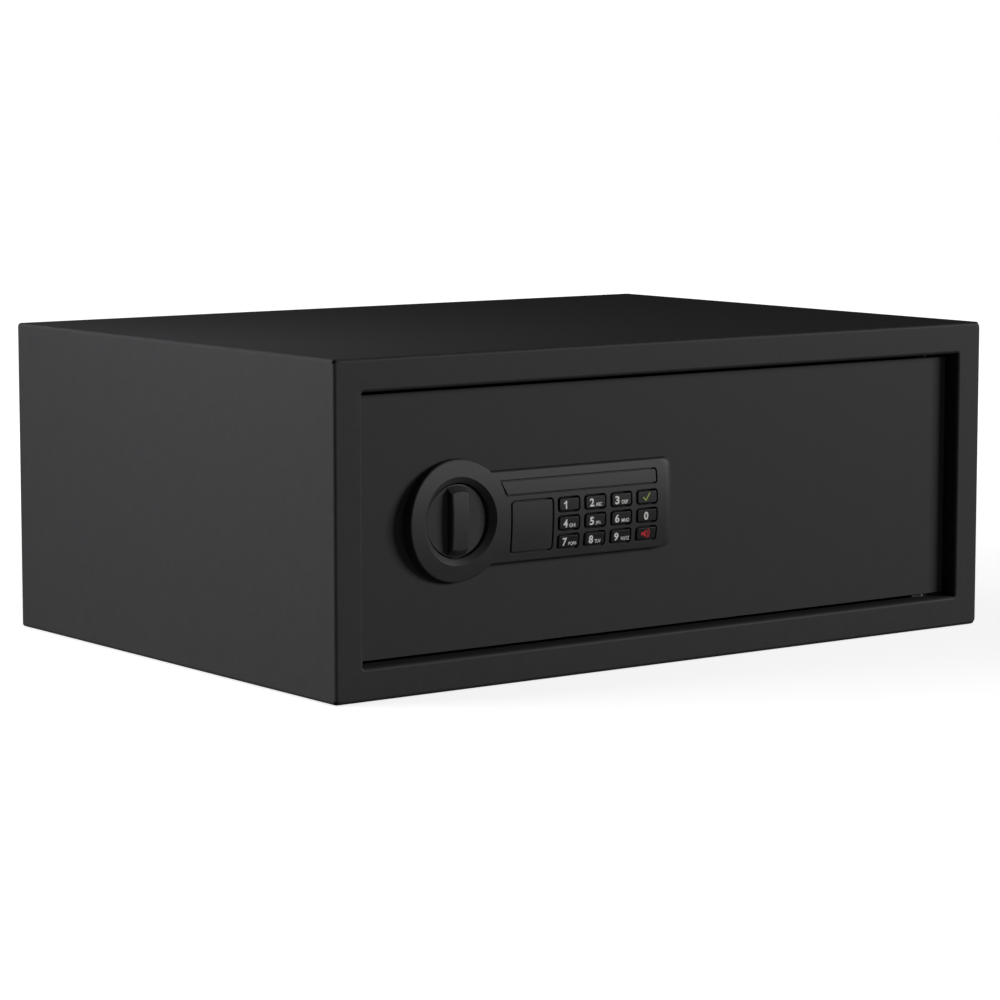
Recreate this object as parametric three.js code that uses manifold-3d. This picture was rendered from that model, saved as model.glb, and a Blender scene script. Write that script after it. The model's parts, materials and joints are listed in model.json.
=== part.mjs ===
// Electronic safe of laptop size: a sheet-steel cabinet, a recessed door on two inner pivots,
// a moulded lock housing with twelve keys, and a recessed knob that throws two live bolts.
// Millimetres. X runs to the right, Y to the rear and Z up, from under the middle of the base.
// The door stands shut with its bolts drawn in, and its solenoid holds the plunger down.

import * as THREE from "three";
import { mergeVertices } from "three/addons/utils/BufferGeometryUtils.js";
import Module from "manifold-3d";

const wasm = await Module();
wasm.setup();

// Clearances
const seat = 0.3; // between two pieces that touch
const runningGap = 0.12; // round a shaft in its bearing
const slidingGap = 0.3; // round a bolt or plunger in its hole
const cutMargin = 1; // how far a cut runs past the face it opens

// Facets
const roundSides = 24;
const smallSides = 16;
const ringSides = 64;
const arcSteps = 3;
const bowSides = 120;
const bowSteps = 6;

// Cabinet
const width = 460;
const depth = 330;
const height = 180;
const sheet = 2;
const edgeRadius = 2;
const edgeCorner = 2.5;
const frameBorder = 18;
const lipDepth = 13;
const lipRadius = 2;
const openingCorner = 0.5;
const backFlange = 12;
const anchorSpacing = 240;
const anchorRadius = 5;
const floorAnchorY = 20;
const linerThickness = 2;
const linerHoleRadius = 9;
const linerMargin = 2;

// Door
const doorGap = 2.2;
const doorRecess = 8.5;
const doorThickness = 4;
const doorCorner = 0.8;
const cableHoleRadius = 5;
const cableHoleReach = 92;
const cableHoleDrop = 4;

// Hinge
const hingeInset = 11.8;
const hingeSetBack = 3;
const hingePinRadius = 2.2;
const earHalfWidth = 8;
const earReach = 5.5;
const earThickness = 3;
const bracketThickness = 2.5;
const bracketDepth = 14;
const bracketFoot = 12;
const pinStick = 0.8;

// Lock housing, measured from the knob's axis
const lockFromSide = 82;
const ringRadius = 33.1;
const cupMouth = 23.5;
const cupRadius = 20.8;
const cupBevel = 4;
const housingStand = 7;
const faceBow = 140; // the front's radius about a level axis
const housingWall = 2;
const housingFront = 2.4;
const barHeight = 50;
const barReach = 147.3;
const barCorner = 4.5;
const endRoll = 7.5;
const endRollDepth = 6;
const edgeRound = 1;
const draft = 0.03;
const bossRadius = 3.2;
const insertThickness = 1.2;
const insertGap = 0.8;

// Status strip, from the knob's axis
const stripBottom = 12.15;
const stripTop = 18.9;
const stripEndInset = 14.1;
const stripRingGap = 0.3;
const stripCorner = 1;

// Override lock under its square cover, from the knob's axis
const coverReach = 47.4;
const coverDrop = 5.85;
const coverSide = 27;
const coverCorner = 1.5;
const clipInset = 1.4;
const clipThickness = 1.2;
const clipWidth = 6;
const clipLength = 3.4;
const barrelRadius = 9;
const barrelInset = 2.4;
const barrelLength = 22.5;
const plugRadius = 6;
const keywayWidth = 1.6;
const keywayHeight = 8;
const keywayDepth = 9;
const nutRadius = 14;
const nutThickness = 3;
const camLength = 12;
const camEndRadius = 3;
const camThickness = 2;

// Keys, from the knob's axis
const keyColumns = 4;
const keyNames = [
  ["1", "2", "3", "enter"],
  ["4", "5", "6", "0"],
  ["7", "8", "9", "sound"],
];
const firstColumn = 72.1;
const columnPitch = 18.1;
const firstRow = 4.1;
const rowPitch = 10.15;
const keyWidth = 14;
const keyHeight = 7.3;
const keyCorner = 1.3;
const keyGap = 0.6;
const keyProud = 0.4;
const keyCrown = 0.5;
const keyFlangeLip = 1.05;
const keyFlange = 0.8;
const keyTravel = 0.7;
const matThickness = 0.6;
const boardThickness = 1.2;
const boardMargin = 2;

// Knob and its shaft
const discRadius = 20.3;
const discThickness = 1.2;
const gripWidth = 13;
const gripFaceWidth = 8.2;
const gripEdge = 2;
const gripLength = 39;
const gripFaceLength = 33.1;
const spindleRadius = 4;
const spindleSocket = 3.4;
const bushWall = 2.8;
const bushFlange = 2.2;
const bushFlangeThickness = 1.3;
const clipRingWidth = 2.2;
const clipRingThickness = 1;

// Crank and bolt carriage
const crankRadius = 12;
const crankTurn = 90;
const crankPinRadius = 3;
const crankThickness = 3;
const crankHubLength = 8;
const crankHubWall = 3;
const crankEndWall = 2.2;
const slotPlay = 0.7;
const slotHeadroom = 0.6;
const carriageSheet = 2.5;
const carriageHalf = 52;
const carriageBeyondAxis = 18;
const flangeGap = 1;
const flangeStand = 3;
const armDepth = 12;
const upperArmRise = 14;
const lowerArmDrop = 35;
const upperArmReach = 89.6;
const lowerArmReach = 55;
const stopWidth = 10;
const stopDrop = 4.5;
const stopRamp = 4;
const stopThickness = 5;

// Live bolts
const boltRadius = 8;
const boltRise = 40;
const boltBehindLip = 2;
const boltTipInset = 0.8;
const boltChamfer = 1;
const tenonRadius = 4;
const tenonStick = 2.2;
const guideInset = 5.8;
const guideSheet = 1.8;
const guideFoot = 14;

// Studs that carry the carriage
const studReach = 30;
const studRadius = 3.6;
const studNeck = 2.5;
const studHeadRadius = 5;
const studHead = 2;

// Solenoid
const plungerReach = 76;
const plungerRadius = 3;
const plungerGap = 1.5;
const plungerLength = 24;
const coilRadius = 8;
const coilLength = 18;
const coilTopGap = 2.5;
const solenoidSheet = 1.7;
const solenoidWidth = 18;

// Cover over the mechanism
const coverWall = 2;
const coverDepth = 33.5;
const coverEdge = 8;
const coverFlange = 6.5;
const coverFlangeSheet = 1.5;
const coverRightReach = 208;

// Screws
const screwRadius = 1.3;
const screwHeadRadius = 2.7;
const screwHead = 1.7;
const screwBite = 3;
const coverScrewInset = 42;

// Batteries, from the knob's axis
const batteryReach = 140;
const cellCount = 4;
const cellRadius = 7.1;
const cellLength = 49;
const cellNub = 1.5;
const cellNubRadius = 2.7;
const cellPitch = 15;
const trayWall = 1.6;
const trayEndRoom = 3;
const trayRim = 4;
const trayRimThickness = 1.7;
const lidThickness = 1.5;
const lidGripRadius = 6;
const lidGripDepth = 0.8;

// Reset button, from the knob's axis
const resetReach = 194;
const resetDrop = 45;
const resetRadius = 3;
const resetProud = 1.5;
const resetFlangeLip = 1.5;
const resetFlange = 0.8;
const resetCollarWall = 1.5;
const resetCollarDepth = 5;

// Places worked out from the sizes above
const frontFace = -depth / 2;
const rearFace = depth / 2;
const openingHalf = width / 2 - frameBorder;
const openingBottom = frameBorder;
const openingTop = height - frameBorder;
const lipRear = frontFace + lipDepth;
const doorHalf = openingHalf - doorGap;
const doorBottom = openingBottom + doorGap;
const doorTop = openingTop - doorGap;
const doorFace = frontFace + doorRecess;
const doorRear = doorFace + doorThickness;
const hingeX = doorHalf - hingeInset;
const hingeY = doorRear + hingeSetBack;
const lockX = -width / 2 + lockFromSide;
const lockZ = height / 2;
const housingFace = doorFace - housingStand;
const housingRear = doorFace - seat;
const cavityFace = housingFace + housingFront;
const barEnd = lockX + barReach;
const cavityEnd = barEnd - housingWall - endRoll / 2;
const barHalf = barHeight / 2;
const cavityHalf = barHalf - housingWall;
const insertRear = housingFace + insertThickness;
const keyLockX = lockX + coverReach;
const keyLockZ = lockZ - coverDrop;
const boltY = lipRear + boltBehindLip + boltRadius;
const carriageFront = boltY + boltRadius + seat;
const carriageRear = carriageFront + carriageSheet;
const halfTurn = (crankTurn / 2) * (Math.PI / 180);
const crankPinX = lockX + crankRadius * Math.sin(halfTurn);
const crankPinZ = lockZ + crankRadius * Math.cos(halfTurn);
const boltThrow = 2 * crankRadius * Math.sin(halfTurn);
const flangeRight = lockX - crankRadius - crankPinRadius - flangeGap;
const flangeLeft = flangeRight - carriageSheet;
const spindleEnd = carriageFront - seat - screwHead - seat - seat;
const upperArmBottom = lockZ + upperArmRise;
const lowerArmBottom = lockZ - lowerArmDrop;
const stopBottom = upperArmBottom - stopDrop;
const plungerX = lockX + plungerReach;
const plungerY = carriageFront + carriageSheet / 2;
const plungerTop = stopBottom - plungerGap;
const coilTop = plungerTop - coilTopGap - solenoidSheet - seat;
const mechanismRear = doorRear + coverDepth;
const coverBottom = doorBottom + coverEdge;
const coverTop = doorTop - coverEdge;
const coverLeft = -doorHalf + guideInset;
const coverRight = lockX + coverRightReach;
const trayX = lockX + batteryReach;
const trayHalfWidth = (cellCount * cellPitch) / 2 + trayWall;
const trayHalfHeight = (cellLength + cellNub) / 2 + trayEndRoom + trayWall;
const trayRear = mechanismRear + seat + trayRimThickness;
const lidFront = trayRear - lidThickness;
const cellY = lidFront - seat - cellRadius;
const trayFloor = cellY - cellRadius - seat;
const keyFlangeFront = cavityFace + seat;
const matFront = keyFlangeFront + keyFlange + keyTravel + seat;
const boardFront = matFront + matThickness + seat;

// A closed geometry as a solid that can be joined and cut
function solid(geometry) {
  geometry.deleteAttribute("normal");
  geometry.deleteAttribute("uv");
  const merged = mergeVertices(geometry);
  const corners = merged.index.array;
  const kept = [];
  for (let i = 0; i < corners.length; i += 3) {
    const [a, b, c] = [corners[i], corners[i + 1], corners[i + 2]];
    if (a !== b && b !== c && c !== a) kept.push(a, b, c);
  }
  const mesh = new wasm.Mesh({
    numProp: 3,
    vertProperties: merged.attributes.position.array,
    triVerts: Uint32Array.from(kept),
  });
  return new wasm.Manifold(mesh);
}

function joined(solids) {
  return solids.reduce((whole, next) => whole.add(next));
}

function cut(whole, tools) {
  return tools.reduce((rest, tool) => rest.subtract(tool), whole);
}

function box([left, right], [front, rear], [bottom, top]) {
  const geometry = new THREE.BoxGeometry(right - left, rear - front, top - bottom);
  geometry.translate((left + right) / 2, (front + rear) / 2, (bottom + top) / 2);
  return solid(geometry);
}

function rodX(y, z, radius, left, right, sides = roundSides) {
  const geometry = new THREE.CylinderGeometry(radius, radius, right - left, sides);
  geometry.rotateZ(Math.PI / 2);
  geometry.translate((left + right) / 2, y, z);
  return solid(geometry);
}

function rodY(x, z, radius, front, rear, sides = roundSides) {
  const geometry = new THREE.CylinderGeometry(radius, radius, rear - front, sides);
  geometry.translate(x, (front + rear) / 2, z);
  return solid(geometry);
}

function rodZ(x, y, radius, bottom, top, sides = roundSides) {
  const geometry = new THREE.CylinderGeometry(radius, radius, top - bottom, sides);
  geometry.rotateX(Math.PI / 2);
  geometry.translate(x, y, (bottom + top) / 2);
  return solid(geometry);
}

// A profile of radius and height, turned about an axis that points to the rear
function turned(x, z, profile, sides = ringSides) {
  const points = profile.map(([radius, y]) => new THREE.Vector2(radius, y));
  const geometry = new THREE.LatheGeometry(points, sides);
  geometry.translate(x, 0, z);
  return solid(geometry);
}

// A rounded rectangle in X and Z
function roundedShape(left, right, bottom, top, radius) {
  const shape = new THREE.Shape();
  const quarter = Math.PI / 2;
  shape.absarc(right - radius, top - radius, radius, 0, quarter);
  shape.absarc(left + radius, top - radius, radius, quarter, 2 * quarter);
  shape.absarc(left + radius, bottom + radius, radius, 2 * quarter, 3 * quarter);
  shape.absarc(right - radius, bottom + radius, radius, 3 * quarter, 4 * quarter);
  shape.closePath();
  return shape;
}

// An outline with straight sides in X and Z
function outline(points) {
  return new THREE.Shape(points.map(([x, z]) => new THREE.Vector2(x, z)));
}

// A shape drawn in X and Z, extruded from front to rear
function slab(shape, front, rear) {
  const geometry = new THREE.ExtrudeGeometry(shape, {
    depth: rear - front,
    bevelEnabled: false,
    curveSegments: arcSteps,
  });
  geometry.rotateX(Math.PI / 2);
  geometry.translate(0, rear, 0);
  return solid(geometry);
}

function roundedSlab(left, right, bottom, top, radius, front, rear) {
  return slab(roundedShape(left, right, bottom, top, radius), front, rear);
}

// One ring of a loft: a rounded rectangle at the depth y, its upright sides in one or more steps
function rectRing(y, left, right, bottom, top, radius, sideSteps = 1) {
  const corners = [
    [right - radius, top - radius],
    [left + radius, top - radius],
    [left + radius, bottom + radius],
    [right - radius, bottom + radius],
  ];
  const ring = [];
  corners.forEach(([x, z], corner) => {
    for (let step = 0; step <= arcSteps; step += 1) {
      const turn = (corner + step / arcSteps) * (Math.PI / 2);
      ring.push([x + radius * Math.cos(turn), y, z + radius * Math.sin(turn)]);
    }
    const rise = corner === 1 ? -1 : 1;
    const side = top - bottom - 2 * radius;
    for (let step = 1; step < sideSteps && corner % 2 === 1; step += 1) {
      ring.push([corner === 1 ? left : right, y, z + rise * side * (step / sideSteps)]);
    }
  });
  return ring;
}

// A closed skin over rings of equal length, the rearmost first
function loft(rings) {
  const count = rings[0].length;
  const triangles = [];
  for (let ring = 0; ring + 1 < rings.length; ring += 1) {
    const rear = ring * count;
    const front = rear + count;
    for (let i = 0; i < count; i += 1) {
      const next = (i + 1) % count;
      triangles.push(rear + i, rear + next, front + next);
      triangles.push(rear + i, front + next, front + i);
    }
  }
  const last = (rings.length - 1) * count;
  for (let i = 1; i + 1 < count; i += 1) {
    triangles.push(0, i + 1, i);
    triangles.push(last, last + i, last + i + 1);
  }
  const geometry = new THREE.BufferGeometry();
  geometry.setAttribute("position", new THREE.Float32BufferAttribute(rings.flat(2), 3));
  geometry.setIndex(triangles);
  return solid(geometry);
}

// Values from 0 to 90 degrees, in equal steps
function quarterSteps(steps) {
  return Array.from({ length: steps + 1 }, (_, step) => (step / steps) * (Math.PI / 2));
}

// Cabinet

function cabinetBlock() {
  const half = width / 2;
  const rings = [rectRing(rearFace, -half, half, 0, height, edgeCorner)];
  quarterSteps(arcSteps).forEach((turn) => {
    const inset = edgeRadius * (1 - Math.cos(turn));
    const y = frontFace + edgeRadius * (1 - Math.sin(turn));
    rings.push(rectRing(y, -half + inset, half - inset, inset, height - inset, edgeCorner - inset));
  });
  return loft(rings);
}

// The doorway with its rolled edge
function doorway() {
  const ring = (y, flare) => rectRing(
    y, -openingHalf - flare, openingHalf + flare, openingBottom - flare, openingTop + flare, openingCorner,
  );
  const rings = [ring(lipRear + cutMargin, 0)];
  quarterSteps(arcSteps).forEach((turn) => {
    rings.push(ring(frontFace + lipRadius * (1 - Math.sin(turn)), lipRadius * (1 - Math.cos(turn))));
  });
  rings.push(ring(frontFace - cutMargin, lipRadius));
  return loft(rings);
}

function anchorXs() {
  return [-anchorSpacing / 2, anchorSpacing / 2];
}

function bodyShell() {
  const half = width / 2 - sheet;
  const room = box([-half, half], [frontFace + sheet, rearFace + cutMargin], [sheet, height - sheet]);
  const lip = roundedSlab(
    -openingHalf - sheet, openingHalf + sheet, openingBottom - sheet, openingTop + sheet,
    openingCorner + sheet, frontFace + sheet / 2, lipRear,
  );
  const holes = anchorXs().map((x) => rodZ(x, floorAnchorY, anchorRadius, -cutMargin, sheet + cutMargin));
  return cut(cabinetBlock().subtract(room).add(lip), [doorway(), ...holes]);
}

function backPanel() {
  const half = width / 2 - sheet - seat;
  const bottom = sheet + seat;
  const top = height - sheet - seat;
  const pan = box([-half, half], [rearFace - backFlange, rearFace], [bottom, top]);
  const inside = box(
    [-half + sheet, half - sheet],
    [rearFace - backFlange - cutMargin, rearFace - sheet],
    [bottom + sheet, top - sheet],
  );
  const holes = anchorXs().map((x) => (
    rodY(x, height / 2, anchorRadius, rearFace - sheet - cutMargin, rearFace + cutMargin)
  ));
  return cut(pan, [inside, ...holes]);
}

function floorLiner() {
  const half = width / 2 - sheet - linerMargin;
  const bottom = sheet + seat;
  const top = bottom + linerThickness;
  const mat = box([-half, half], [lipRear + linerMargin, rearFace - backFlange - seat], [bottom, top]);
  const holes = anchorXs().map((x) => (
    rodZ(x, floorAnchorY, linerHoleRadius, bottom - cutMargin, top + cutMargin)
  ));
  return cut(mat, holes);
}

// Hinge: the side says which end of the door, 1 for the top and -1 for the bottom
function span(a, b) {
  return [Math.min(a, b), Math.max(a, b)];
}

function doorEnd(side) {
  return side > 0 ? doorTop : doorBottom;
}

function hingeBracket(side) {
  const wallX = width / 2 - sheet - seat;
  const near = doorEnd(side) + side * seat;
  const far = near + side * bracketThickness;
  const front = lipRear + seat;
  const rear = front + bracketDepth;
  const arm = box([hingeX - earHalfWidth, wallX], [front, rear], span(near, far));
  const foot = box([wallX - bracketThickness, wallX], [front, rear], span(near, far - side * bracketFoot));
  const hole = rodZ(hingeX, hingeY, hingePinRadius + seat, ...span(near - side, far + side), smallSides);
  return cut(arm.add(foot), [hole]);
}

function hingePin(side) {
  const end = doorEnd(side);
  const inner = end - side * (earThickness + pinStick);
  const outer = end + side * (seat + bracketThickness + pinStick);
  return rodZ(hingeX, hingeY, hingePinRadius, ...span(inner, outer), smallSides);
}

// Door

function doorEar(side) {
  const end = doorEnd(side);
  const range = span(end, end - side * earThickness);
  const lug = box([hingeX - earHalfWidth, hingeX + earHalfWidth], [doorFace + sheet, hingeY], range);
  const tip = rodZ(hingeX, hingeY, earReach, ...range, smallSides);
  const hole = rodZ(
    hingeX, hingeY, hingePinRadius + runningGap, range[0] - cutMargin, range[1] + cutMargin, smallSides,
  );
  return { lug: lug.add(tip), hole };
}

function throughDoor(x, z, radius, sides = roundSides) {
  return rodY(x, z, radius, doorFace - cutMargin, doorRear + cutMargin, sides);
}

function doorPlate() {
  const plate = roundedSlab(-doorHalf, doorHalf, doorBottom, doorTop, doorCorner, doorFace, doorRear);
  const ears = [doorEar(1), doorEar(-1)];
  const blindHoles = coverScrewPlaces().map(([x, z]) => (
    rodY(x, z, screwRadius + seat, doorRear - screwBite - seat, doorRear + cutMargin, smallSides)
  ));
  return cut(joined([plate, ...ears.map((ear) => ear.lug)]), [
    ...ears.map((ear) => ear.hole),
    ...blindHoles,
    throughDoor(lockX, lockZ, spindleRadius + bushWall + seat),
    throughDoor(keyLockX, keyLockZ, barrelRadius + seat),
    throughDoor(lockX + cableHoleReach, lockZ - cableHoleDrop, cableHoleRadius, smallSides),
    ...bossPlaces().map(([x, z]) => throughDoor(x, z, screwRadius + seat, smallSides)),
  ]);
}

// Lock housing: how far its side stands in from its foot at the depth y
function mouldInset(y) {
  const below = y - housingFace;
  const lean = draft * (housingRear - y);
  if (below >= edgeRound) return lean;
  return lean + edgeRound - Math.sqrt(edgeRound ** 2 - (edgeRound - below) ** 2);
}

// The housing's front bows about a level axis: how far it stands behind its crest at the height z
function faceDrop(z) {
  return faceBow - Math.sqrt(faceBow ** 2 - (z - lockZ) ** 2);
}

// All that lies at least a depth behind the bowed front
function behindFace(distance) {
  const reach = ringRadius + cutMargin;
  return rodX(housingFace + faceBow, lockZ, faceBow - distance, lockX - reach, barEnd + cutMargin, bowSides);
}

// Draws a ring back with the bowed front, less and less towards the foot
function bowed(ring) {
  return ring.map(([x, y, z]) => {
    const share = (housingRear - y) / (housingRear - housingFace);
    return [x, y + share * faceDrop(z), z];
  });
}

function roundRing(y, radius) {
  const ring = Array.from({ length: ringSides }, (_, side) => {
    const turn = (side / ringSides) * 2 * Math.PI;
    return [lockX + radius * Math.cos(turn), y, lockZ + radius * Math.sin(turn)];
  });
  return bowed(ring);
}

function barRing(y, roll) {
  const half = barHalf - mouldInset(y);
  return bowed(rectRing(y, lockX, barEnd - roll, lockZ - half, lockZ + half, barCorner, bowSteps));
}

// The bar rolls down to the door at its right end; its front is cut to the bow
function housingBar() {
  const rings = [barRing(housingRear, 0)];
  quarterSteps(2 * arcSteps).forEach((turn) => {
    const y = housingFace + endRollDepth * (1 - Math.sin(turn));
    rings.push(barRing(y, endRoll * (1 - Math.cos(turn))));
  });
  rings.push(rectRing(
    housingFace - cutMargin, lockX, barEnd - 2 * endRoll, lockZ - barHalf / 2, lockZ + barHalf / 2, barCorner, bowSteps,
  ));
  return loft(rings);
}

function housingDisc() {
  const rings = [roundRing(housingRear, ringRadius)];
  quarterSteps(arcSteps).forEach((turn) => {
    const y = housingFace + edgeRound * (1 - Math.sin(turn));
    rings.push(roundRing(y, ringRadius - mouldInset(y)));
  });
  rings.push(roundRing(housingFace - cutMargin, ringRadius / 2));
  return loft(rings);
}

function cupTool() {
  return loft([
    roundRing(housingRear + cutMargin, cupRadius),
    roundRing(housingFace + cupBevel, cupRadius),
    roundRing(housingFace, cupMouth),
    roundRing(housingFace - cutMargin, cupMouth),
  ]);
}

// The room behind the front follows the bow, but lies flat behind the keys
function housingCavity() {
  const open = housingRear + cutMargin;
  const barRoom = roundedSlab(
    lockX, cavityEnd, lockZ - cavityHalf, lockZ + cavityHalf, barCorner - housingWall, cavityFace, open,
  );
  const ringRoom = rodY(lockX, lockZ, ringRadius - housingWall, cavityFace, open, ringSides);
  const cupWall = rodY(lockX, lockZ, cupRadius + housingWall, cavityFace - cutMargin, open, ringSides);
  const flangeReach = keyHeight / 2 + keyFlangeLip + seat;
  const keyRoom = box(
    [lockX + firstColumn - keyWidth / 2 - boardMargin, cavityEnd - seat], [cavityFace, housingRear],
    [lockZ + firstRow - 2 * rowPitch - flangeReach, lockZ + firstRow + flangeReach],
  );
  return barRoom.add(ringRoom).intersect(behindFace(housingFront)).add(keyRoom).subtract(cupWall);
}

// Two bosses take the screws that come through the door
function bossPlaces() {
  const middle = (cupRadius + housingWall + ringRadius - housingWall) / 2;
  const fall = Math.PI / 9;
  return [
    [lockX - middle * Math.cos(fall), lockZ - middle * Math.sin(fall)],
    [barEnd - barHalf, lockZ + (stripBottom + stripTop) / 2],
  ];
}

function stripShape(gap) {
  const edge = ringRadius + stripRingGap;
  const right = barEnd - stripEndInset;
  const leftAt = (rise) => lockX + Math.sqrt(edge ** 2 - rise ** 2) - gap;
  const radius = stripCorner + gap;
  const shape = new THREE.Shape();
  shape.moveTo(leftAt(stripTop), lockZ + stripTop + gap);
  shape.lineTo(leftAt(stripBottom), lockZ + stripBottom - gap);
  shape.lineTo(right + gap - radius, lockZ + stripBottom - gap);
  shape.absarc(right + gap - radius, lockZ + stripBottom - gap + radius, radius, -Math.PI / 2, 0);
  shape.absarc(right + gap - radius, lockZ + stripTop + gap - radius, radius, 0, Math.PI / 2);
  shape.closePath();
  return shape;
}

// A plate that lies in the bowed front, and the pocket that takes it
function facePlate(shape) {
  return slab(shape, housingFace - cutMargin, housingRear)
    .intersect(behindFace(0))
    .subtract(behindFace(insertThickness));
}

function facePocket(shape) {
  return slab(shape, housingFace - cutMargin, housingRear).subtract(behindFace(insertThickness + seat));
}

function coverShape(gap) {
  const half = coverSide / 2 + gap;
  return roundedShape(keyLockX - half, keyLockX + half, keyLockZ - half, keyLockZ + half, coverCorner);
}

function clipBox(side, gap) {
  const outer = keyLockX + side * (coverSide / 2 - clipInset + gap);
  const inner = outer - side * (clipThickness + 2 * gap);
  const half = clipWidth / 2 + gap;
  return box(
    span(outer, inner), [insertRear - gap - seat, insertRear + clipLength + gap],
    [keyLockZ - half, keyLockZ + half],
  );
}

function keyPlaces() {
  return keyNames.flatMap((row, rowIndex) => row.slice(0, keyColumns).map((name, column) => ({
    name: `key_${name}`,
    x: lockX + firstColumn + column * columnPitch,
    z: lockZ + firstRow - rowIndex * rowPitch,
  })));
}

function keyTool({ x, z }) {
  const halfWidth = keyWidth / 2 + keyGap;
  const halfHeight = keyHeight / 2 + keyGap;
  return roundedSlab(
    x - halfWidth, x + halfWidth, z - halfHeight, z + halfHeight, keyCorner + keyGap,
    housingFace - cutMargin, cavityFace + cutMargin,
  );
}

function lockHousing() {
  const bosses = bossPlaces().map(([x, z]) => (
    rodY(x, z, bossRadius, cavityFace - cutMargin, housingRear, smallSides)
  ));
  const pilots = bossPlaces().map(([x, z]) => (
    rodY(x, z, screwRadius + seat, housingRear - screwBite - seat, housingRear + cutMargin, smallSides)
  ));
  const block = housingBar().add(housingDisc()).intersect(behindFace(0));
  const shell = block.subtract(housingCavity());
  return cut(joined([shell, ...bosses]), [
    cupTool(),
    facePocket(stripShape(insertGap)),
    facePocket(coverShape(insertGap)),
    rodY(keyLockX, keyLockZ, barrelRadius + 2 * seat, housingFace, cavityFace + 2 * cutMargin),
    clipBox(1, seat),
    clipBox(-1, seat),
    ...pilots,
    ...keyPlaces().map(keyTool),
  ]);
}

function statusStrip() {
  return facePlate(stripShape(0));
}

function keyCover() {
  return joined([facePlate(coverShape(0)), clipBox(1, 0), clipBox(-1, 0)]);
}

// A key: a crowned cap that shows, and a flange that stops it behind the housing's front
function keyCap({ x, z }) {
  const face = housingFace + faceDrop(z) - keyProud;
  const ring = (y, inset) => rectRing(
    y, x - keyWidth / 2 + inset, x + keyWidth / 2 - inset,
    z - keyHeight / 2 + inset, z + keyHeight / 2 - inset, keyCorner - inset / 2,
  );
  const crown = quarterSteps(arcSteps).map((turn) => (
    ring(face + keyCrown * (1 - Math.sin(turn)), keyCrown * (1 - Math.cos(turn)))
  ));
  const cap = loft([ring(keyFlangeFront + keyFlange / 2, 0), ...crown]);
  const halfWidth = keyWidth / 2 + keyFlangeLip;
  const halfHeight = keyHeight / 2 + keyFlangeLip;
  return cap.add(box(
    [x - halfWidth, x + halfWidth], [keyFlangeFront, keyFlangeFront + keyFlange],
    [z - halfHeight, z + halfHeight],
  ));
}

function keypadSheet(front, thickness) {
  const left = lockX + firstColumn - keyWidth / 2 - boardMargin;
  const top = lockZ + firstRow + keyHeight / 2 + boardMargin;
  return roundedSlab(
    left, cavityEnd - seat, lockZ - cavityHalf + seat, top, barCorner - housingWall, front, front + thickness,
  );
}

// Override lock

function overrideCylinder() {
  const front = housingFace + barrelInset;
  const rear = front + barrelLength;
  return rodY(keyLockX, keyLockZ, barrelRadius, front, rear)
    .subtract(rodY(keyLockX, keyLockZ, plugRadius + runningGap, front - cutMargin, rear + cutMargin));
}

function cylinderNut() {
  const front = doorRear + seat;
  return rodY(keyLockX, keyLockZ, nutRadius, front, front + nutThickness, 6)
    .subtract(rodY(keyLockX, keyLockZ, barrelRadius + seat, front - cutMargin, front + nutThickness + cutMargin));
}

function overridePlug() {
  const front = housingFace + barrelInset + seat;
  const camFront = housingFace + barrelInset + barrelLength + seat;
  const plug = rodY(keyLockX, keyLockZ, plugRadius, front, camFront + camThickness);
  const keyway = box(
    [keyLockX - keywayWidth / 2, keyLockX + keywayWidth / 2], [front - cutMargin, front + keywayDepth],
    [keyLockZ - keywayHeight / 2, keyLockZ + keywayHeight / 2],
  );
  return plug.subtract(keyway);
}

// The cam hangs down from the plug's rear end
function overrideCam() {
  const front = housingFace + barrelInset + barrelLength + seat;
  const rear = front + camThickness;
  const eye = rodY(keyLockX, keyLockZ, plugRadius + seat + camEndRadius, front, rear);
  const arm = box(
    [keyLockX - camEndRadius, keyLockX + camEndRadius], [front, rear], [keyLockZ - camLength, keyLockZ],
  );
  const tip = rodY(keyLockX, keyLockZ - camLength, camEndRadius, front, rear, smallSides);
  const hole = rodY(keyLockX, keyLockZ, plugRadius + seat, front - cutMargin, rear + cutMargin);
  return joined([eye, arm, tip]).subtract(hole);
}

// Knob and shaft

// The grip bar narrows to its bowed face; a cone about the knob's axis slopes both ends
function knobGrip() {
  const foot = doorFace - seat - discThickness / 2;
  const ring = (y, halfWidth) => rectRing(
    y, lockX - halfWidth, lockX + halfWidth, lockZ - gripLength, lockZ + gripLength, edgeRound,
  );
  const rings = [ring(foot, gripWidth / 2)];
  quarterSteps(arcSteps).forEach((turn) => {
    const y = housingFace + gripEdge * (1 - Math.sin(turn));
    rings.push(ring(y, gripFaceWidth / 2 + gripEdge * Math.cos(turn)));
  });
  const faceEnd = housingFace + faceDrop(lockZ + gripFaceLength / 2);
  const slope = (gripLength - gripFaceLength) / 2 / (foot - faceEnd);
  const front = housingFace - cutMargin;
  const ends = turned(lockX, lockZ, [
    [0, front],
    [gripLength / 2 - slope * (foot - front), front],
    [gripLength / 2, foot],
    [gripLength / 2, foot + seat],
    [0, foot + seat],
  ]);
  return loft(rings).intersect(ends).intersect(behindFace(0));
}

function knob() {
  const discRear = doorFace - seat;
  const disc = rodY(lockX, lockZ, discRadius, discRear - discThickness, discRear, ringSides);
  const socket = rodY(
    lockX, lockZ, spindleRadius + seat, discRear - spindleSocket - seat, discRear + cutMargin,
  );
  return disc.add(knobGrip()).subtract(socket);
}

function spindle() {
  const shaft = rodY(lockX, lockZ, spindleRadius, doorFace - seat - spindleSocket, spindleEnd);
  const hole = rodY(
    lockX, lockZ, screwRadius + seat, spindleEnd - screwBite - seat, spindleEnd + cutMargin, smallSides,
  );
  return shaft.subtract(hole);
}

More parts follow.
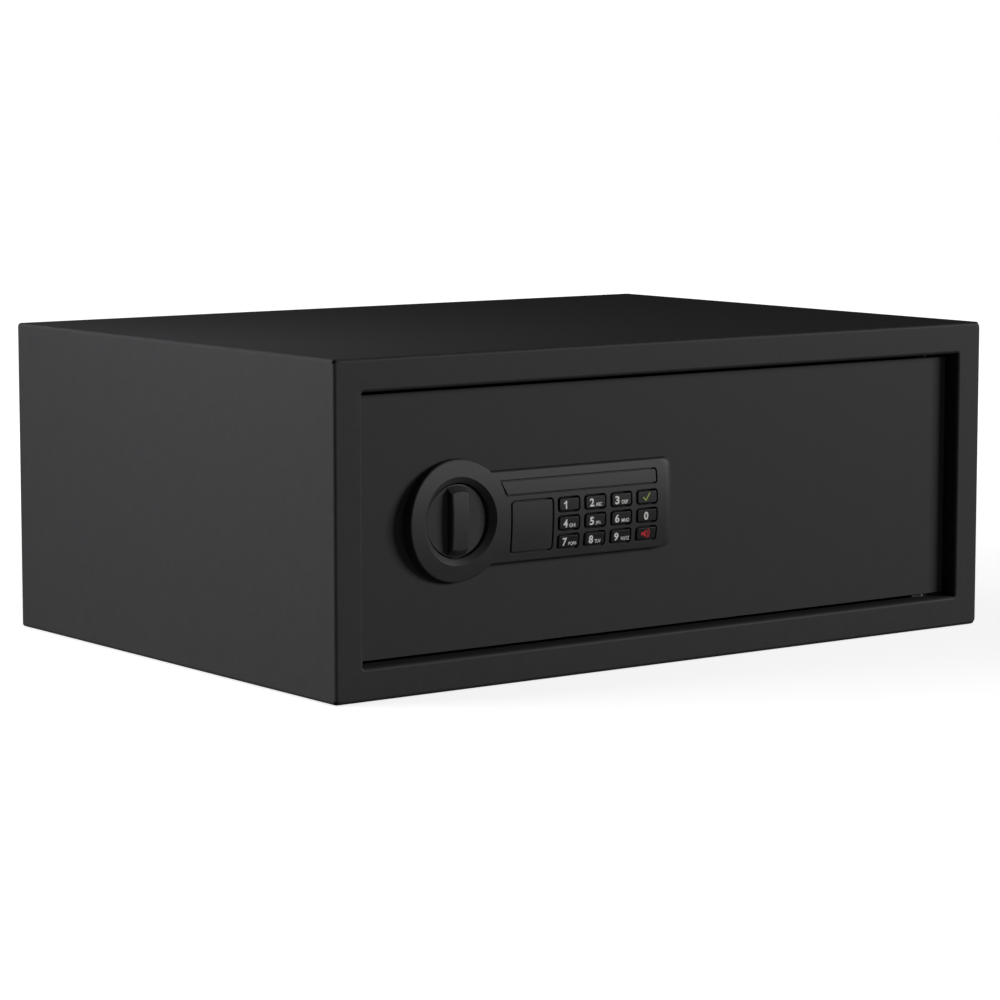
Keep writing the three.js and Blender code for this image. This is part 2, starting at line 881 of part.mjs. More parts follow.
function spindleBush() {
  const rear = doorRear + seat + bushFlangeThickness;
  const sleeve = rodY(lockX, lockZ, spindleRadius + bushWall, doorFace + seat, rear);
  const flange = rodY(lockX, lockZ, spindleRadius + bushWall + bushFlange, doorRear + seat, rear);
  const bore = rodY(lockX, lockZ, spindleRadius + runningGap, doorFace - cutMargin, rear + cutMargin);
  return sleeve.add(flange).subtract(bore);
}

function spindleClip() {
  const front = doorRear + bushFlangeThickness + 2 * seat;
  const rear = front + clipRingThickness;
  return rodY(lockX, lockZ, spindleRadius + clipRingWidth, front, rear)
    .subtract(rodY(lockX, lockZ, spindleRadius + seat, front - cutMargin, rear + cutMargin));
}

function crank() {
  const plateFront = spindleEnd - crankThickness;
  const hubRadius = spindleRadius + seat + crankHubWall;
  const endRadius = crankPinRadius + crankEndWall;
  const hub = rodY(lockX, lockZ, hubRadius, spindleEnd - crankHubLength, spindleEnd);
  const bar = new THREE.BoxGeometry(2 * endRadius, crankThickness, crankRadius);
  bar.translate(0, 0, crankRadius / 2);
  bar.rotateY(halfTurn);
  bar.translate(lockX, plateFront + crankThickness / 2, lockZ);
  const tip = rodY(crankPinX, crankPinZ, endRadius, plateFront, spindleEnd);
  const pin = rodY(crankPinX, crankPinZ, crankPinRadius, plateFront, carriageRear + cutMargin, smallSides);
  const hole = rodY(
    lockX, lockZ, spindleRadius + seat, plateFront - crankHubLength, spindleEnd + cutMargin,
  );
  return joined([hub, solid(bar), tip, pin]).subtract(hole);
}

// A screw along Y: its head stands behind the face it holds, its shank runs forward
function screw(x, z, headFront, tipFront) {
  const head = rodY(x, z, screwHeadRadius, headFront, headFront + screwHead, smallSides);
  return head.add(rodY(x, z, screwRadius, tipFront, headFront + screwHead / 2, smallSides));
}

// Bolts and carriage

function carriageOutline() {
  const left = flangeLeft;
  const right = lockX + carriageBeyondAxis;
  const upperEnd = lockX + upperArmReach;
  const lowerEnd = lockX + lowerArmReach;
  return outline([
    [left, lockZ - carriageHalf],
    [right, lockZ - carriageHalf],
    [right, lowerArmBottom],
    [lowerEnd, lowerArmBottom],
    [lowerEnd, lowerArmBottom + armDepth],
    [right, lowerArmBottom + armDepth],
    [right, upperArmBottom],
    [upperEnd, upperArmBottom],
    [upperEnd, upperArmBottom + armDepth],
    [right, upperArmBottom + armDepth],
    [right, lockZ + carriageHalf],
    [left, lockZ + carriageHalf],
  ]);
}

function studZs() {
  return [upperArmBottom + armDepth / 2, lowerArmBottom + armDepth / 2];
}

function boltZs() {
  return [lockZ + boltRise, lockZ - boltRise];
}

function boltCarriage() {
  const plate = slab(carriageOutline(), carriageFront, carriageRear);
  const flange = box(
    [flangeLeft, flangeRight], [doorRear + flangeStand, carriageRear],
    [lockZ - carriageHalf, lockZ + carriageHalf],
  );
  const through = [carriageFront - cutMargin, carriageRear + cutMargin];
  const slotHalf = crankPinRadius + slotPlay;
  const crankSlot = roundedSlab(
    crankPinX - slotHalf, crankPinX + slotHalf,
    crankPinZ - crankPinRadius - slotHeadroom, lockZ + crankRadius + crankPinRadius + slotHeadroom,
    crankPinRadius, ...through,
  );
  const neck = studNeck + slidingGap;
  const studX = lockX + studReach;
  const studSlots = studZs().map((z) => roundedSlab(
    studX - neck, studX + boltThrow + neck, z - neck, z + neck, neck - slidingGap, ...through,
  ));
  const boltHoles = boltZs().map((z) => (
    rodX(boltY, z, tenonRadius + seat, flangeLeft - cutMargin, flangeRight + cutMargin, smallSides)
  ));
  return cut(plate.add(flange), [crankSlot, ...studSlots, ...boltHoles]);
}

// A stop welded under the upper arm's end; the raised plunger stands in its way
function carriageStop() {
  const right = lockX + upperArmReach;
  const left = right - stopWidth;
  const top = upperArmBottom - seat;
  const middle = (carriageFront + carriageRear) / 2;
  const shape = outline([
    [left, top],
    [left + stopRamp, stopBottom],
    [right, stopBottom],
    [right, top],
  ]);
  return slab(shape, middle - stopThickness / 2, middle + stopThickness / 2);
}

// A live bolt: a round bar with a broken edge at its tip and a tenon through the carriage
function liveBolt(z) {
  const tip = -doorHalf + boltTipInset;
  const end = flangeLeft - seat;
  const points = [
    [0, tip],
    [boltRadius - boltChamfer, tip],
    [boltRadius, tip + boltChamfer],
    [boltRadius, end],
    [tenonRadius, end],
    [tenonRadius, flangeRight + tenonStick],
    [0, flangeRight + tenonStick],
  ].map(([radius, x]) => new THREE.Vector2(radius, x));
  const geometry = new THREE.LatheGeometry(points, roundSides);
  geometry.rotateZ(-Math.PI / 2);
  geometry.translate(0, boltY, z);
  return solid(geometry);
}

// The guide closes the left side of the mechanism and steadies both bolts
function boltGuide() {
  const left = coverLeft;
  const right = left + guideSheet;
  const front = doorRear + seat;
  const zRange = [coverBottom + coverWall + seat, coverTop - coverWall - seat];
  const upright = box([left, right], [front, mechanismRear - coverWall - seat], zRange);
  const foot = box([left, right + guideFoot], [front, front + guideSheet], zRange);
  const holes = boltZs().map((z) => rodX(boltY, z, boltRadius + slidingGap, left - cutMargin, right + cutMargin));
  return cut(upright.add(foot), holes);
}

function carriageStud(z) {
  const x = lockX + studReach;
  const headFront = carriageRear + seat;
  return joined([
    rodY(x, z, studRadius, doorRear + seat, carriageFront - seat, smallSides),
    rodY(x, z, studNeck, carriageFront - seat - cutMargin, headFront + studHead, smallSides),
    rodY(x, z, studHeadRadius, headFront, headFront + studHead, smallSides),
  ]);
}

// Solenoid

function solenoidFrame() {
  const xRange = [plungerX - solenoidWidth / 2, plungerX + solenoidWidth / 2];
  const yRange = [doorRear + seat, plungerY + coilRadius];
  const bottom = coilTop - coilLength - seat;
  const top = coilTop + seat;
  const webRear = plungerY - coilRadius - seat;
  const shelves = [
    box(xRange, yRange, [bottom - solenoidSheet, bottom]),
    box(xRange, yRange, [top, top + solenoidSheet]),
    box(xRange, [webRear - solenoidSheet, webRear], [bottom - solenoidSheet, top + solenoidSheet]),
  ];
  const hole = rodZ(
    plungerX, plungerY, plungerRadius + slidingGap, top - cutMargin, top + solenoidSheet + cutMargin, smallSides,
  );
  return joined(shelves).subtract(hole);
}

function solenoidCoil() {
  const bottom = coilTop - coilLength;
  const bore = rodZ(
    plungerX, plungerY, plungerRadius + slidingGap, bottom - cutMargin, coilTop + cutMargin, smallSides,
  );
  return rodZ(plungerX, plungerY, coilRadius, bottom, coilTop).subtract(bore);
}

function solenoidPlunger() {
  const bottom = plungerTop - plungerLength + coilTopGap;
  return rodZ(plungerX, plungerY, plungerRadius, bottom, plungerTop, smallSides);
}

// Cover, batteries and reset button

function coverScrewPlaces() {
  const xs = [coverLeft + coverScrewInset, coverRight - coverScrewInset];
  const zs = [coverBottom - coverFlange / 2, coverTop + coverFlange / 2];
  return xs.flatMap((x) => zs.map((z) => [x, z]));
}

function innerCover() {
  const front = doorRear + seat;
  const pan = box([coverLeft, coverRight], [front, mechanismRear], [coverBottom, coverTop]);
  const flange = box(
    [coverLeft, coverRight], [front, front + coverFlangeSheet],
    [coverBottom - coverFlange, coverTop + coverFlange],
  );
  const room = box(
    [coverLeft - cutMargin, coverRight - coverWall], [front - cutMargin, mechanismRear - coverWall],
    [coverBottom + coverWall, coverTop - coverWall],
  );
  const trayHole = box(
    [trayX - trayHalfWidth - seat, trayX + trayHalfWidth + seat],
    [mechanismRear - coverWall - cutMargin, mechanismRear + cutMargin],
    [lockZ - trayHalfHeight - seat, lockZ + trayHalfHeight + seat],
  );
  const collarRadius = resetRadius + resetFlangeLip + seat + resetCollarWall;
  const resetX = lockX + resetReach;
  const resetZ = lockZ - resetDrop;
  const inner = mechanismRear - coverWall;
  const collar = rodY(resetX, resetZ, collarRadius, inner - resetCollarDepth, inner + cutMargin)
    .subtract(rodY(
      resetX, resetZ, collarRadius - resetCollarWall, inner - resetCollarDepth - cutMargin, inner,
    ));
  const resetHole = rodY(resetX, resetZ, resetRadius + seat, inner - cutMargin, mechanismRear + cutMargin);
  const screwHoles = coverScrewPlaces().map(([x, z]) => (
    rodY(x, z, screwRadius + seat, front - cutMargin, front + coverFlangeSheet + cutMargin, smallSides)
  ));
  return cut(pan.add(flange).subtract(room).add(collar), [trayHole, resetHole, ...screwHoles]);
}

function batteryTray() {
  const tub = box(
    [trayX - trayHalfWidth, trayX + trayHalfWidth], [trayFloor - trayWall, trayRear],
    [lockZ - trayHalfHeight, lockZ + trayHalfHeight],
  );
  const rim = box(
    [trayX - trayHalfWidth - trayRim, trayX + trayHalfWidth + trayRim],
    [trayRear - trayRimThickness, trayRear],
    [lockZ - trayHalfHeight - trayRim, lockZ + trayHalfHeight + trayRim],
  );
  const room = box(
    [trayX - trayHalfWidth + trayWall, trayX + trayHalfWidth - trayWall], [trayFloor, trayRear + cutMargin],
    [lockZ - trayHalfHeight + trayWall, lockZ + trayHalfHeight - trayWall],
  );
  return tub.add(rim).subtract(room);
}

// The cells lie side by side, each turned end for end from the one before
function batteryCell(index) {
  const x = trayX + (index - (cellCount - 1) / 2) * cellPitch;
  const up = index % 2 === 0 ? 1 : -1;
  const half = (cellLength + cellNub) / 2;
  const points = [
    [0, -half],
    [cellRadius, -half],
    [cellRadius, half - cellNub],
    [cellNubRadius, half - cellNub],
    [cellNubRadius, half],
    [0, half],
  ].map(([radius, z]) => new THREE.Vector2(radius, z));
  const geometry = new THREE.LatheGeometry(points, smallSides);
  geometry.rotateX(up * Math.PI / 2);
  geometry.translate(x, cellY, lockZ);
  return solid(geometry);
}

function batteryLid() {
  const halfWidth = trayHalfWidth - trayWall - seat;
  const halfHeight = trayHalfHeight - trayWall - seat;
  const lid = box([trayX - halfWidth, trayX + halfWidth], [lidFront, trayRear], [lockZ - halfHeight, lockZ + halfHeight]);
  const grip = rodY(
    trayX, lockZ + halfHeight - 2 * lidGripRadius, lidGripRadius, trayRear - lidGripDepth, trayRear + cutMargin,
  );
  return lid.subtract(grip);
}

function resetButton() {
  const x = lockX + resetReach;
  const z = lockZ - resetDrop;
  const inner = mechanismRear - coverWall;
  const stem = rodY(x, z, resetRadius, inner - seat - resetFlange, mechanismRear + resetProud, smallSides);
  return stem.add(rodY(x, z, resetRadius + resetFlangeLip, inner - seat - resetFlange, inner - seat));
}

// Finishes

function paintedSteel(colour = 0x3b3c3e) {
  return new THREE.MeshStandardMaterial({ color: colour, roughness: 0.6, metalness: 0.2 });
}

function plastic(colour = 0x303032) {
  return new THREE.MeshStandardMaterial({ color: colour, roughness: 0.45, metalness: 0 });
}

function metal(colour = 0xb8babd) {
  return new THREE.MeshStandardMaterial({ color: colour, roughness: 0.35, metalness: 1 });
}

function geometryOf(shape) {
  const mesh = shape.getMesh();
  const geometry = new THREE.BufferGeometry();
  geometry.setAttribute("position", new THREE.BufferAttribute(mesh.vertProperties, 3));
  geometry.setIndex(new THREE.BufferAttribute(mesh.triVerts, 1));
  geometry.computeVertexNormals();
  return geometry;
}

const safe = new THREE.Group();

function place(name, shape, material) {
  const mesh = new THREE.Mesh(geometryOf(shape), material);
  mesh.name = name;
  safe.add(mesh);
}

place("body_shell", bodyShell(), paintedSteel());
place("back_panel", backPanel(), paintedSteel());
place("floor_liner", floorLiner(), plastic(0x1c1c1e));
place("hinge_bracket_upper", hingeBracket(1), paintedSteel(0x4a4b4d));
place("hinge_bracket_lower", hingeBracket(-1), paintedSteel(0x4a4b4d));
place("hinge_pin_upper", hingePin(1), metal());
place("hinge_pin_lower", hingePin(-1), metal());

place("door_plate", doorPlate(), paintedSteel());
place("lock_housing", lockHousing(), plastic());
place("status_strip", statusStrip(), plastic(0x262628));
place("key_cover", keyCover(), plastic(0x2a2a2c));
keyPlaces().forEach((key) => place(key.name, keyCap(key), plastic(0x1e1e20)));
place("keypad_mat", keypadSheet(matFront, matThickness), plastic(0x55585c));
place("keypad_board", keypadSheet(boardFront, boardThickness), plastic(0x2c6b3c));

place("override_cylinder", overrideCylinder(), metal(0xc9b06a));
place("cylinder_nut", cylinderNut(), metal());
place("override_plug", overridePlug(), metal(0xc9b06a));
place("override_cam", overrideCam(), metal());

place("knob", knob(), plastic());
place("spindle", spindle(), metal());
place("spindle_bush", spindleBush(), plastic(0xd8d8d4));
place("spindle_clip", spindleClip(), metal(0x55585c));
place("crank", crank(), metal());
place("crank_screw", screw(lockX, lockZ, spindleEnd + seat, spindleEnd - screwBite), metal());

place("bolt_carriage", boltCarriage(), metal());
place("carriage_stop", carriageStop(), metal());
boltZs().forEach((z, index) => place(`bolt_${index ? "lower" : "upper"}`, liveBolt(z), metal()));
place("bolt_guide", boltGuide(), metal());
studZs().forEach((z, index) => place(`carriage_stud_${index ? "lower" : "upper"}`, carriageStud(z), metal()));

place("solenoid_frame", solenoidFrame(), metal());
place("solenoid_coil", solenoidCoil(), metal(0xa5642f));
place("solenoid_plunger", solenoidPlunger(), metal());

place("inner_cover", innerCover(), paintedSteel(0x4a4b4d));
coverScrewPlaces().forEach(([x, z], index) => {
  const headFront = doorRear + coverFlangeSheet + 2 * seat;
  place(`cover_screw_${index + 1}`, screw(x, z, headFront, doorRear - screwBite), metal());
});
bossPlaces().forEach(([x, z], index) => {
  place(`housing_screw_${index + 1}`, screw(x, z, doorRear + seat, housingRear - screwBite), metal());
});

place("battery_tray", batteryTray(), plastic(0x1c1c1e));
for (let index = 0; index < cellCount; index += 1) {
  place(`battery_cell_${index + 1}`, batteryCell(index), metal(0x8f8a70));
}
place("battery_lid", batteryLid(), plastic(0x1c1c1e));
place("reset_button", resetButton(), plastic(0xb02020));

export default safe;
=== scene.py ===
import json
import math

import bmesh
import bpy
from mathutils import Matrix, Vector

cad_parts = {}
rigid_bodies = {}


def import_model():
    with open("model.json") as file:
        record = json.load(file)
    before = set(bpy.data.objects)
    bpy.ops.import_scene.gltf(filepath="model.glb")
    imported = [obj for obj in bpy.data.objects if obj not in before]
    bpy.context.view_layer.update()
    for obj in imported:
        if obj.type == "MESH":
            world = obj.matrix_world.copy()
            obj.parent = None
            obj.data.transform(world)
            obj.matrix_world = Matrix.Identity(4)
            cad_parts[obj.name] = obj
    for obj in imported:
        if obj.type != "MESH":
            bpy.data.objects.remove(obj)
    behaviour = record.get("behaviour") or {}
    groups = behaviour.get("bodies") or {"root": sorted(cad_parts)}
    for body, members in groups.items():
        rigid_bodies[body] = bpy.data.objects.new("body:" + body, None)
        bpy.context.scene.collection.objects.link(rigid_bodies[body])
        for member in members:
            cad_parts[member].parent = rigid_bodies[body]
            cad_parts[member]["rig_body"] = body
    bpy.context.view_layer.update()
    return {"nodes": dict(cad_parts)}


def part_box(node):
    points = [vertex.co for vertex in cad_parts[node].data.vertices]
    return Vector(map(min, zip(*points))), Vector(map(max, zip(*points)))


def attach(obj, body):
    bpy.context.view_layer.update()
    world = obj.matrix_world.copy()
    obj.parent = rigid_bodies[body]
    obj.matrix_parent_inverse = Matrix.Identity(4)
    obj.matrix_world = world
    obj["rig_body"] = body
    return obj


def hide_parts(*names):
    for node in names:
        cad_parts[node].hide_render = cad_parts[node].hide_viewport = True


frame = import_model()
mm = 0.001  # the scene is in metres, the sizes below are in millimetres


# Finishes

def linear(colour):  # sRGB hex to the linear values that Blender wants
    values = [int(colour[i:i + 2], 16) / 255 for i in (1, 3, 5)]
    return [v / 12.92 if v <= 0.04045 else ((v + 0.055) / 1.055) ** 2.4 for v in values] + [1]


def addNode(tree, kind, settings=None, links=None):  # one node with its values and what feeds it
    node = tree.nodes.new("ShaderNode" + kind)
    for key, value in (settings or {}).items():
        if isinstance(key, int) or key in node.inputs:
            node.inputs[key].default_value = value
        else:
            setattr(node, key, value)
    for key, source in (links or {}).items():
        tree.links.new(source, node.inputs[key])
    return node


def startMaterial(name):  # an empty material, its tree and the place on the piece
    material = bpy.data.materials.new(name)
    material.use_nodes = True
    tree = material.node_tree
    tree.nodes.clear()
    return material, tree, addNode(tree, "TexCoord").outputs["Object"]


def closeMaterial(material, settings, links):  # the shader that the rest feeds, and the way out
    tree = material.node_tree
    shader = addNode(tree, "BsdfPrincipled", settings, links)
    addNode(tree, "OutputMaterial", {}, {"Surface": shader.outputs["BSDF"]})
    return material


def setStops(tone, first, second):  # the place and colour of a colour ramp's two stops
    for stop, (position, colour) in zip(tone.color_ramp.elements, (first, second)):
        stop.position = position
        stop.color = linear(colour)


def mottled(tree, place, finish, spread):
    # Slow mottling between two tones, and a gloss that wanders with it
    mottle = addNode(tree, "TexNoise", {"Scale": 1 / (finish["mottle"] * mm), "Detail": 3}, {"Vector": place})
    tone = addNode(tree, "ValToRGB", {}, {"Fac": mottle.outputs["Fac"]})
    setStops(tone, (0.5 - spread, finish["dark"]), (0.5 + spread, finish["light"]))
    duller, glossier = finish["roughness"] + finish["wander"], finish["roughness"] - finish["wander"]
    gloss = addNode(tree, "MapRange", {"To Min": glossier, "To Max": duller}, {"Value": mottle.outputs["Fac"]})
    return {"Base Color": tone.outputs["Color"], "Roughness": gloss.outputs["Result"]}


def grainedFinish(name, finish):  # mottled, with a fine relief of two grains
    material, tree, place = startMaterial(name)
    links = mottled(tree, place, finish, 0.15)
    pitch, relief = finish["grain"] * mm, finish["relief"] * mm
    coarse = addNode(tree, "TexNoise", {"Scale": 1 / pitch, "Detail": 2, "Roughness": 0.6}, {"Vector": place})
    fine = addNode(tree, "TexNoise", {"Scale": 3.1 / pitch, "Detail": 1}, {"Vector": place})
    low = addNode(tree, "Bump", {"Distance": relief}, {"Height": coarse.outputs["Fac"]})
    high = addNode(
        tree, "Bump", {"Distance": relief / 3}, {"Height": fine.outputs["Fac"], "Normal": low.outputs["Normal"]},
    )
    links["Normal"] = high.outputs["Normal"]
    return closeMaterial(material, {
        "Metallic": finish.get("metallic", 0), "IOR": finish.get("ior", 1.5),
        "Specular IOR Level": finish.get("specular", 0.5),
    }, links)


# Polyester powder coat, baked on steel: an even near-black with the sandy pimples of a textured powder
powderCoat = grainedFinish("texturedPowderCoat", {
    "dark": "#2f2f31", "light": "#333335", "mottle": 6, "grain": 0.9, "relief": 0.05, "roughness": 0.6,
    "wander": 0.04, "specular": 0.25,
})
# The same powder on the door, sprayed flat on its own rack, so the relief lies a little finer
doorCoat = grainedFinish("doorPowderCoat", {
    "dark": "#323234", "light": "#343436", "mottle": 9, "grain": 0.8, "relief": 0.03, "roughness": 0.58,
    "wander": 0.03, "specular": 0.22,
})
# Smooth grey powder coat on the inner sheet parts: flatter, with the slow ripple of orange peel
innerCoat = grainedFinish("smoothPowderCoat", {
    "dark": "#393a3c", "light": "#3f4042", "mottle": 14, "grain": 2.2, "relief": 0.03, "roughness": 0.45,
    "wander": 0.04,
})
# ABS moulded in a spark-eroded tool: a fine even matt that greys the black
housingAbs = grainedFinish("sparkErodedAbs", {
    "dark": "#363638", "light": "#39393b", "mottle": 12, "grain": 0.35, "relief": 0.012, "roughness": 0.5,
    "wander": 0.03, "specular": 0.22,
})
# Smoked window strip in polycarbonate: a shade darker than the housing, with a tighter gloss
stripPlastic = grainedFinish("smokedPolycarbonate", {
    "dark": "#323234", "light": "#353537", "mottle": 20, "grain": 0.6, "relief": 0.004, "roughness": 0.48,
    "wander": 0.02, "specular": 0.24,
})
# Keycaps in ABS: nearly black, matt on top from the tool's fine texture
keyAbs = grainedFinish("keycapAbs", {
    "dark": "#121214", "light": "#151517", "mottle": 4, "grain": 0.3, "relief": 0.012, "roughness": 0.5,
    "wander": 0.04, "specular": 0.28,
})
blackAbs = grainedFinish("mouldedBlackAbs", {
    "dark": "#18191a", "light": "#1e1f20", "mottle": 9, "grain": 0.5, "relief": 0.02, "roughness": 0.5,
    "wander": 0.05,
})
redAbs = grainedFinish("mouldedRedAbs", {
    "dark": "#a81d1c", "light": "#b52423", "mottle": 5, "grain": 0.4, "relief": 0.01, "roughness": 0.38,
    "wander": 0.04,
})
# Natural nylon: waxy off-white with soft edges where light gets in
nylon = grainedFinish("naturalNylon", {
    "dark": "#cfccc2", "light": "#dddad0", "mottle": 6, "grain": 0.8, "relief": 0.02, "roughness": 0.42,
    "wander": 0.06, "ior": 1.53,
})
# Moulded silicone sheet under the keys: dull grey with a slight drag
silicone = grainedFinish("siliconeRubber", {
    "dark": "#505357", "light": "#5a5d61", "mottle": 5, "grain": 0.7, "relief": 0.03, "roughness": 0.62,
    "wander": 0.06, "ior": 1.43,
})
# Bright zinc plate: silver with a faint grain that dulls in patches
zinc = grainedFinish("brightZincPlate", {
    "dark": "#a9adb1", "light": "#bfc2c5", "mottle": 7, "grain": 0.5, "relief": 0.008, "roughness": 0.34,
    "wander": 0.08, "metallic": 1,
})
brass = grainedFinish("turnedBrass", {
    "dark": "#b3975a", "light": "#c7ab6a", "mottle": 5, "grain": 0.6, "relief": 0.006, "roughness": 0.3,
    "wander": 0.08, "metallic": 1,
})
print("finishes: grained ones done")


def stripedFinish(name, finish):
    # Fine bands across an axis: turning marks on a bar, or the wires of a winding
    material, tree, place = startMaterial(name)
    links = mottled(tree, place, finish, 0.2)
    bands = addNode(tree, "TexWave", {
        "bands_direction": finish["axis"],
        "Scale": 2 * math.pi / 20 / (finish["pitch"] * mm),  # a wave repeats every 2 pi / 20 of its scaled length
        "Distortion": finish["waver"], "Detail": 1, "Detail Scale": 2,
    }, {"Vector": place})
    relief = addNode(
        tree, "Bump", {"Strength": 0.8, "Distance": finish["relief"] * mm}, {"Height": bands.outputs["Fac"]},
    )
    links["Normal"] = relief.outputs["Normal"]
    return closeMaterial(material, {"Metallic": finish["metallic"]}, links)


# Turned and plated steel bar: tool marks half a millimetre apart, drawn a little coarser than the real feed
boltSteel = stripedFinish("turnedSteelBar", {
    "axis": "X", "pitch": 0.5, "waver": 0.3, "mottle": 9, "dark": "#b9bbbe", "light": "#cfd0d2", "relief": 0.006,
    "roughness": 0.24, "wander": 0.06, "metallic": 1,
})
# Enamelled copper wire, wound and lacquered: tight bands 0.6 mm apart
winding = stripedFinish("enamelledCopperWinding", {
    "axis": "Z", "pitch": 0.6, "waver": 0.6, "mottle": 4, "dark": "#7c3d1c", "light": "#a4562a", "relief": 0.12,
    "roughness": 0.35, "wander": 0.08, "metallic": 0.6,
})


def inkFinish(name, colour):  # pad-printed ink: flat colour with the pinholes and soft gloss of a thin film
    return grainedFinish(name, {
        "dark": colour, "light": colour, "mottle": 2, "grain": 0.25, "relief": 0.004, "roughness": 0.5,
        "wander": 0.05,
    })


whiteInk = inkFinish("padPrintWhite", "#f2f2ee")
greenInk = inkFinish("padPrintGreen", "#9db83a")
redInk = inkFinish("padPrintRed", "#d0242c")


def makeFelt():
    # Needle felt: pressed fibres, matt black, with a nap that runs both ways and a soft sheen at low angles
    material, tree, place = startMaterial("needleFelt")
    fibreLength, fibreWidth = 4 * mm, 0.5 * mm
    heights = []
    for turn in (0.4, 1.9):  # two beds of fibres, each drawn out along its own way
        fibres = addNode(tree, "Mapping", {
            "Rotation": (0, 0, turn), "Scale": (1 / fibreLength, 1 / fibreWidth, 1 / fibreWidth),
        }, {"Vector": place})
        noise = addNode(
            tree, "TexNoise", {"Scale": 1, "Detail": 4, "Roughness": 0.7}, {"Vector": fibres.outputs["Vector"]},
        )
        heights.append(noise.outputs["Fac"])
    nap = addNode(tree, "Math", {"operation": "MAXIMUM"}, {0: heights[0], 1: heights[1]})
    tone = addNode(tree, "ValToRGB", {}, {"Fac": nap.outputs["Value"]})
    setStops(tone, (0.45, "#0e0e0f"), (0.75, "#232325"))
    relief = addNode(tree, "Bump", {"Strength": 0.9, "Distance": fibreWidth}, {"Height": nap.outputs["Value"]})
    return closeMaterial(
        material, {"Roughness": 0.95, "Sheen Weight": 0.3, "Sheen Roughness": 0.5, "Specular IOR Level": 0.2},
        {"Base Color": tone.outputs["Color"], "Normal": relief.outputs["Normal"]},
    )


def makeBoard():
    # Circuit board: green solder mask over copper tracks, which show as lighter raised lanes 1.3 mm apart
    material, tree, place = startMaterial("solderMaskBoard")
    cell = 2.6 * mm  # two lanes
    grid = addNode(
        tree, "TexVoronoi", {"Scale": 1 / cell, "distance": "CHEBYCHEV", "Randomness": 0.4}, {"Vector": place},
    )
    tone = addNode(tree, "ValToRGB", {}, {"Fac": grid.outputs["Distance"]})
    tone.color_ramp.interpolation = "CONSTANT"
    setStops(tone, (0, "#2f7440"), (0.4, "#1c5530"))
    relief = addNode(tree, "Bump", {"Strength": 0.5, "Distance": 0.04 * mm}, {"Height": tone.outputs["Color"]})
    return closeMaterial(
        material, {"Roughness": 0.3}, {"Base Color": tone.outputs["Color"], "Normal": relief.outputs["Normal"]},
    )


sleeve = {
    "bottom": 64.8,  # the cells' two ends
    "top": 115.3,
    "body": "#4c5a52",
    "band": "#aeb4b0",
    "rim": "#c9ccd0",
    "changes": ((0.03, "body"), (0.1, "band"), (0.13, "body"), (0.87, "band"), (0.9, "body"), (0.97, "rim")),
}


def makeJacket():
    # Cell jacket: a printed sleeve in two plain tones, with a bare metal rim at each end
    material, tree, place = startMaterial("shrinkSleeve")
    height = addNode(tree, "SeparateXYZ", {}, {"Vector": place}).outputs["Z"]
    share = addNode(
        tree, "MapRange", {"From Min": sleeve["bottom"] * mm, "From Max": sleeve["top"] * mm}, {"Value": height},
    )
    tone = addNode(tree, "ValToRGB", {}, {"Fac": share.outputs["Result"]})
    tone.color_ramp.interpolation = "CONSTANT"
    for position, part in sleeve["changes"]:
        tone.color_ramp.elements.new(position).color = linear(sleeve[part])
    tone.color_ramp.elements[0].color = linear(sleeve["rim"])
    scuffs = addNode(tree, "TexNoise", {"Scale": 1 / (3 * mm), "Detail": 4}, {"Vector": place})
    gloss = addNode(tree, "MapRange", {"To Min": 0.22, "To Max": 0.4}, {"Value": scuffs.outputs["Fac"]})
    relief = addNode(tree, "Bump", {"Strength": 0.3, "Distance": 0.03 * mm}, {"Height": scuffs.outputs["Fac"]})
    return closeMaterial(material, {"Metallic": 0.5}, {
        "Base Color": tone.outputs["Color"], "Roughness": gloss.outputs["Result"], "Normal": relief.outputs["Normal"],
    })


felt = makeFelt()
board = makeBoard()
jacket = makeJacket()
print("finishes: all done")


# Ways of working

def boxOf(node):  # a CAD node's two corners in millimetres
    return [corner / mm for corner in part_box(node)]


def axisOf(low, high, axis):  # the middle of a box, with 0 along the axis
    return [0 if letter == axis else (a + b) / 2 for letter, a, b in zip("xyz", low, high)]


def focus(piece):  # the only selected object, and the active one
    bpy.ops.object.select_all(action="DESELECT")
    piece.select_set(True)
    bpy.context.view_layer.objects.active = piece


def startEdit(piece, action="DESELECT"):
    focus(piece)
    bpy.ops.object.mode_set(mode="EDIT")
    bpy.ops.mesh.select_mode(type="FACE")
    bpy.ops.mesh.select_all(action=action)


def endEdit():
    bpy.ops.object.mode_set(mode="OBJECT")


def pick(piece, kind, test):  # in edit mode: selects the faces, edges or corners that pass the test
    bpy.ops.mesh.select_mode(type=kind)
    bpy.ops.mesh.select_all(action="DESELECT")
    mesh = bmesh.from_edit_mesh(piece.data)
    for part in {"FACE": mesh.faces, "EDGE": mesh.edges, "VERT": mesh.verts}[kind]:
        part.select_set(test(part))
    mesh.select_flush_mode()
    bmesh.update_edit_mesh(piece.data)


def runsAlong(edge, axis):  # is the edge parallel to an axis
    way = (edge.verts[1].co - edge.verts[0].co).normalized()
    return abs(way["xyz".index(axis)]) > 0.99


def middle(edge):
    return (edge.verts[0].co + edge.verts[1].co) / 2


def fixPlace(piece, name):  # names a new primitive and puts its place into its mesh
    piece.name = name
    piece.data.name = name
    bpy.ops.object.transform_apply(location=True, rotation=True, scale=True)
    return piece


def block(name, low, high):
    low, high = Vector(low) * mm, Vector(high) * mm
    bpy.ops.object.select_all(action="DESELECT")
    bpy.ops.mesh.primitive_cube_add(size=1, location=(low + high) / 2, scale=high - low)
    return fixPlace(bpy.context.object, name)


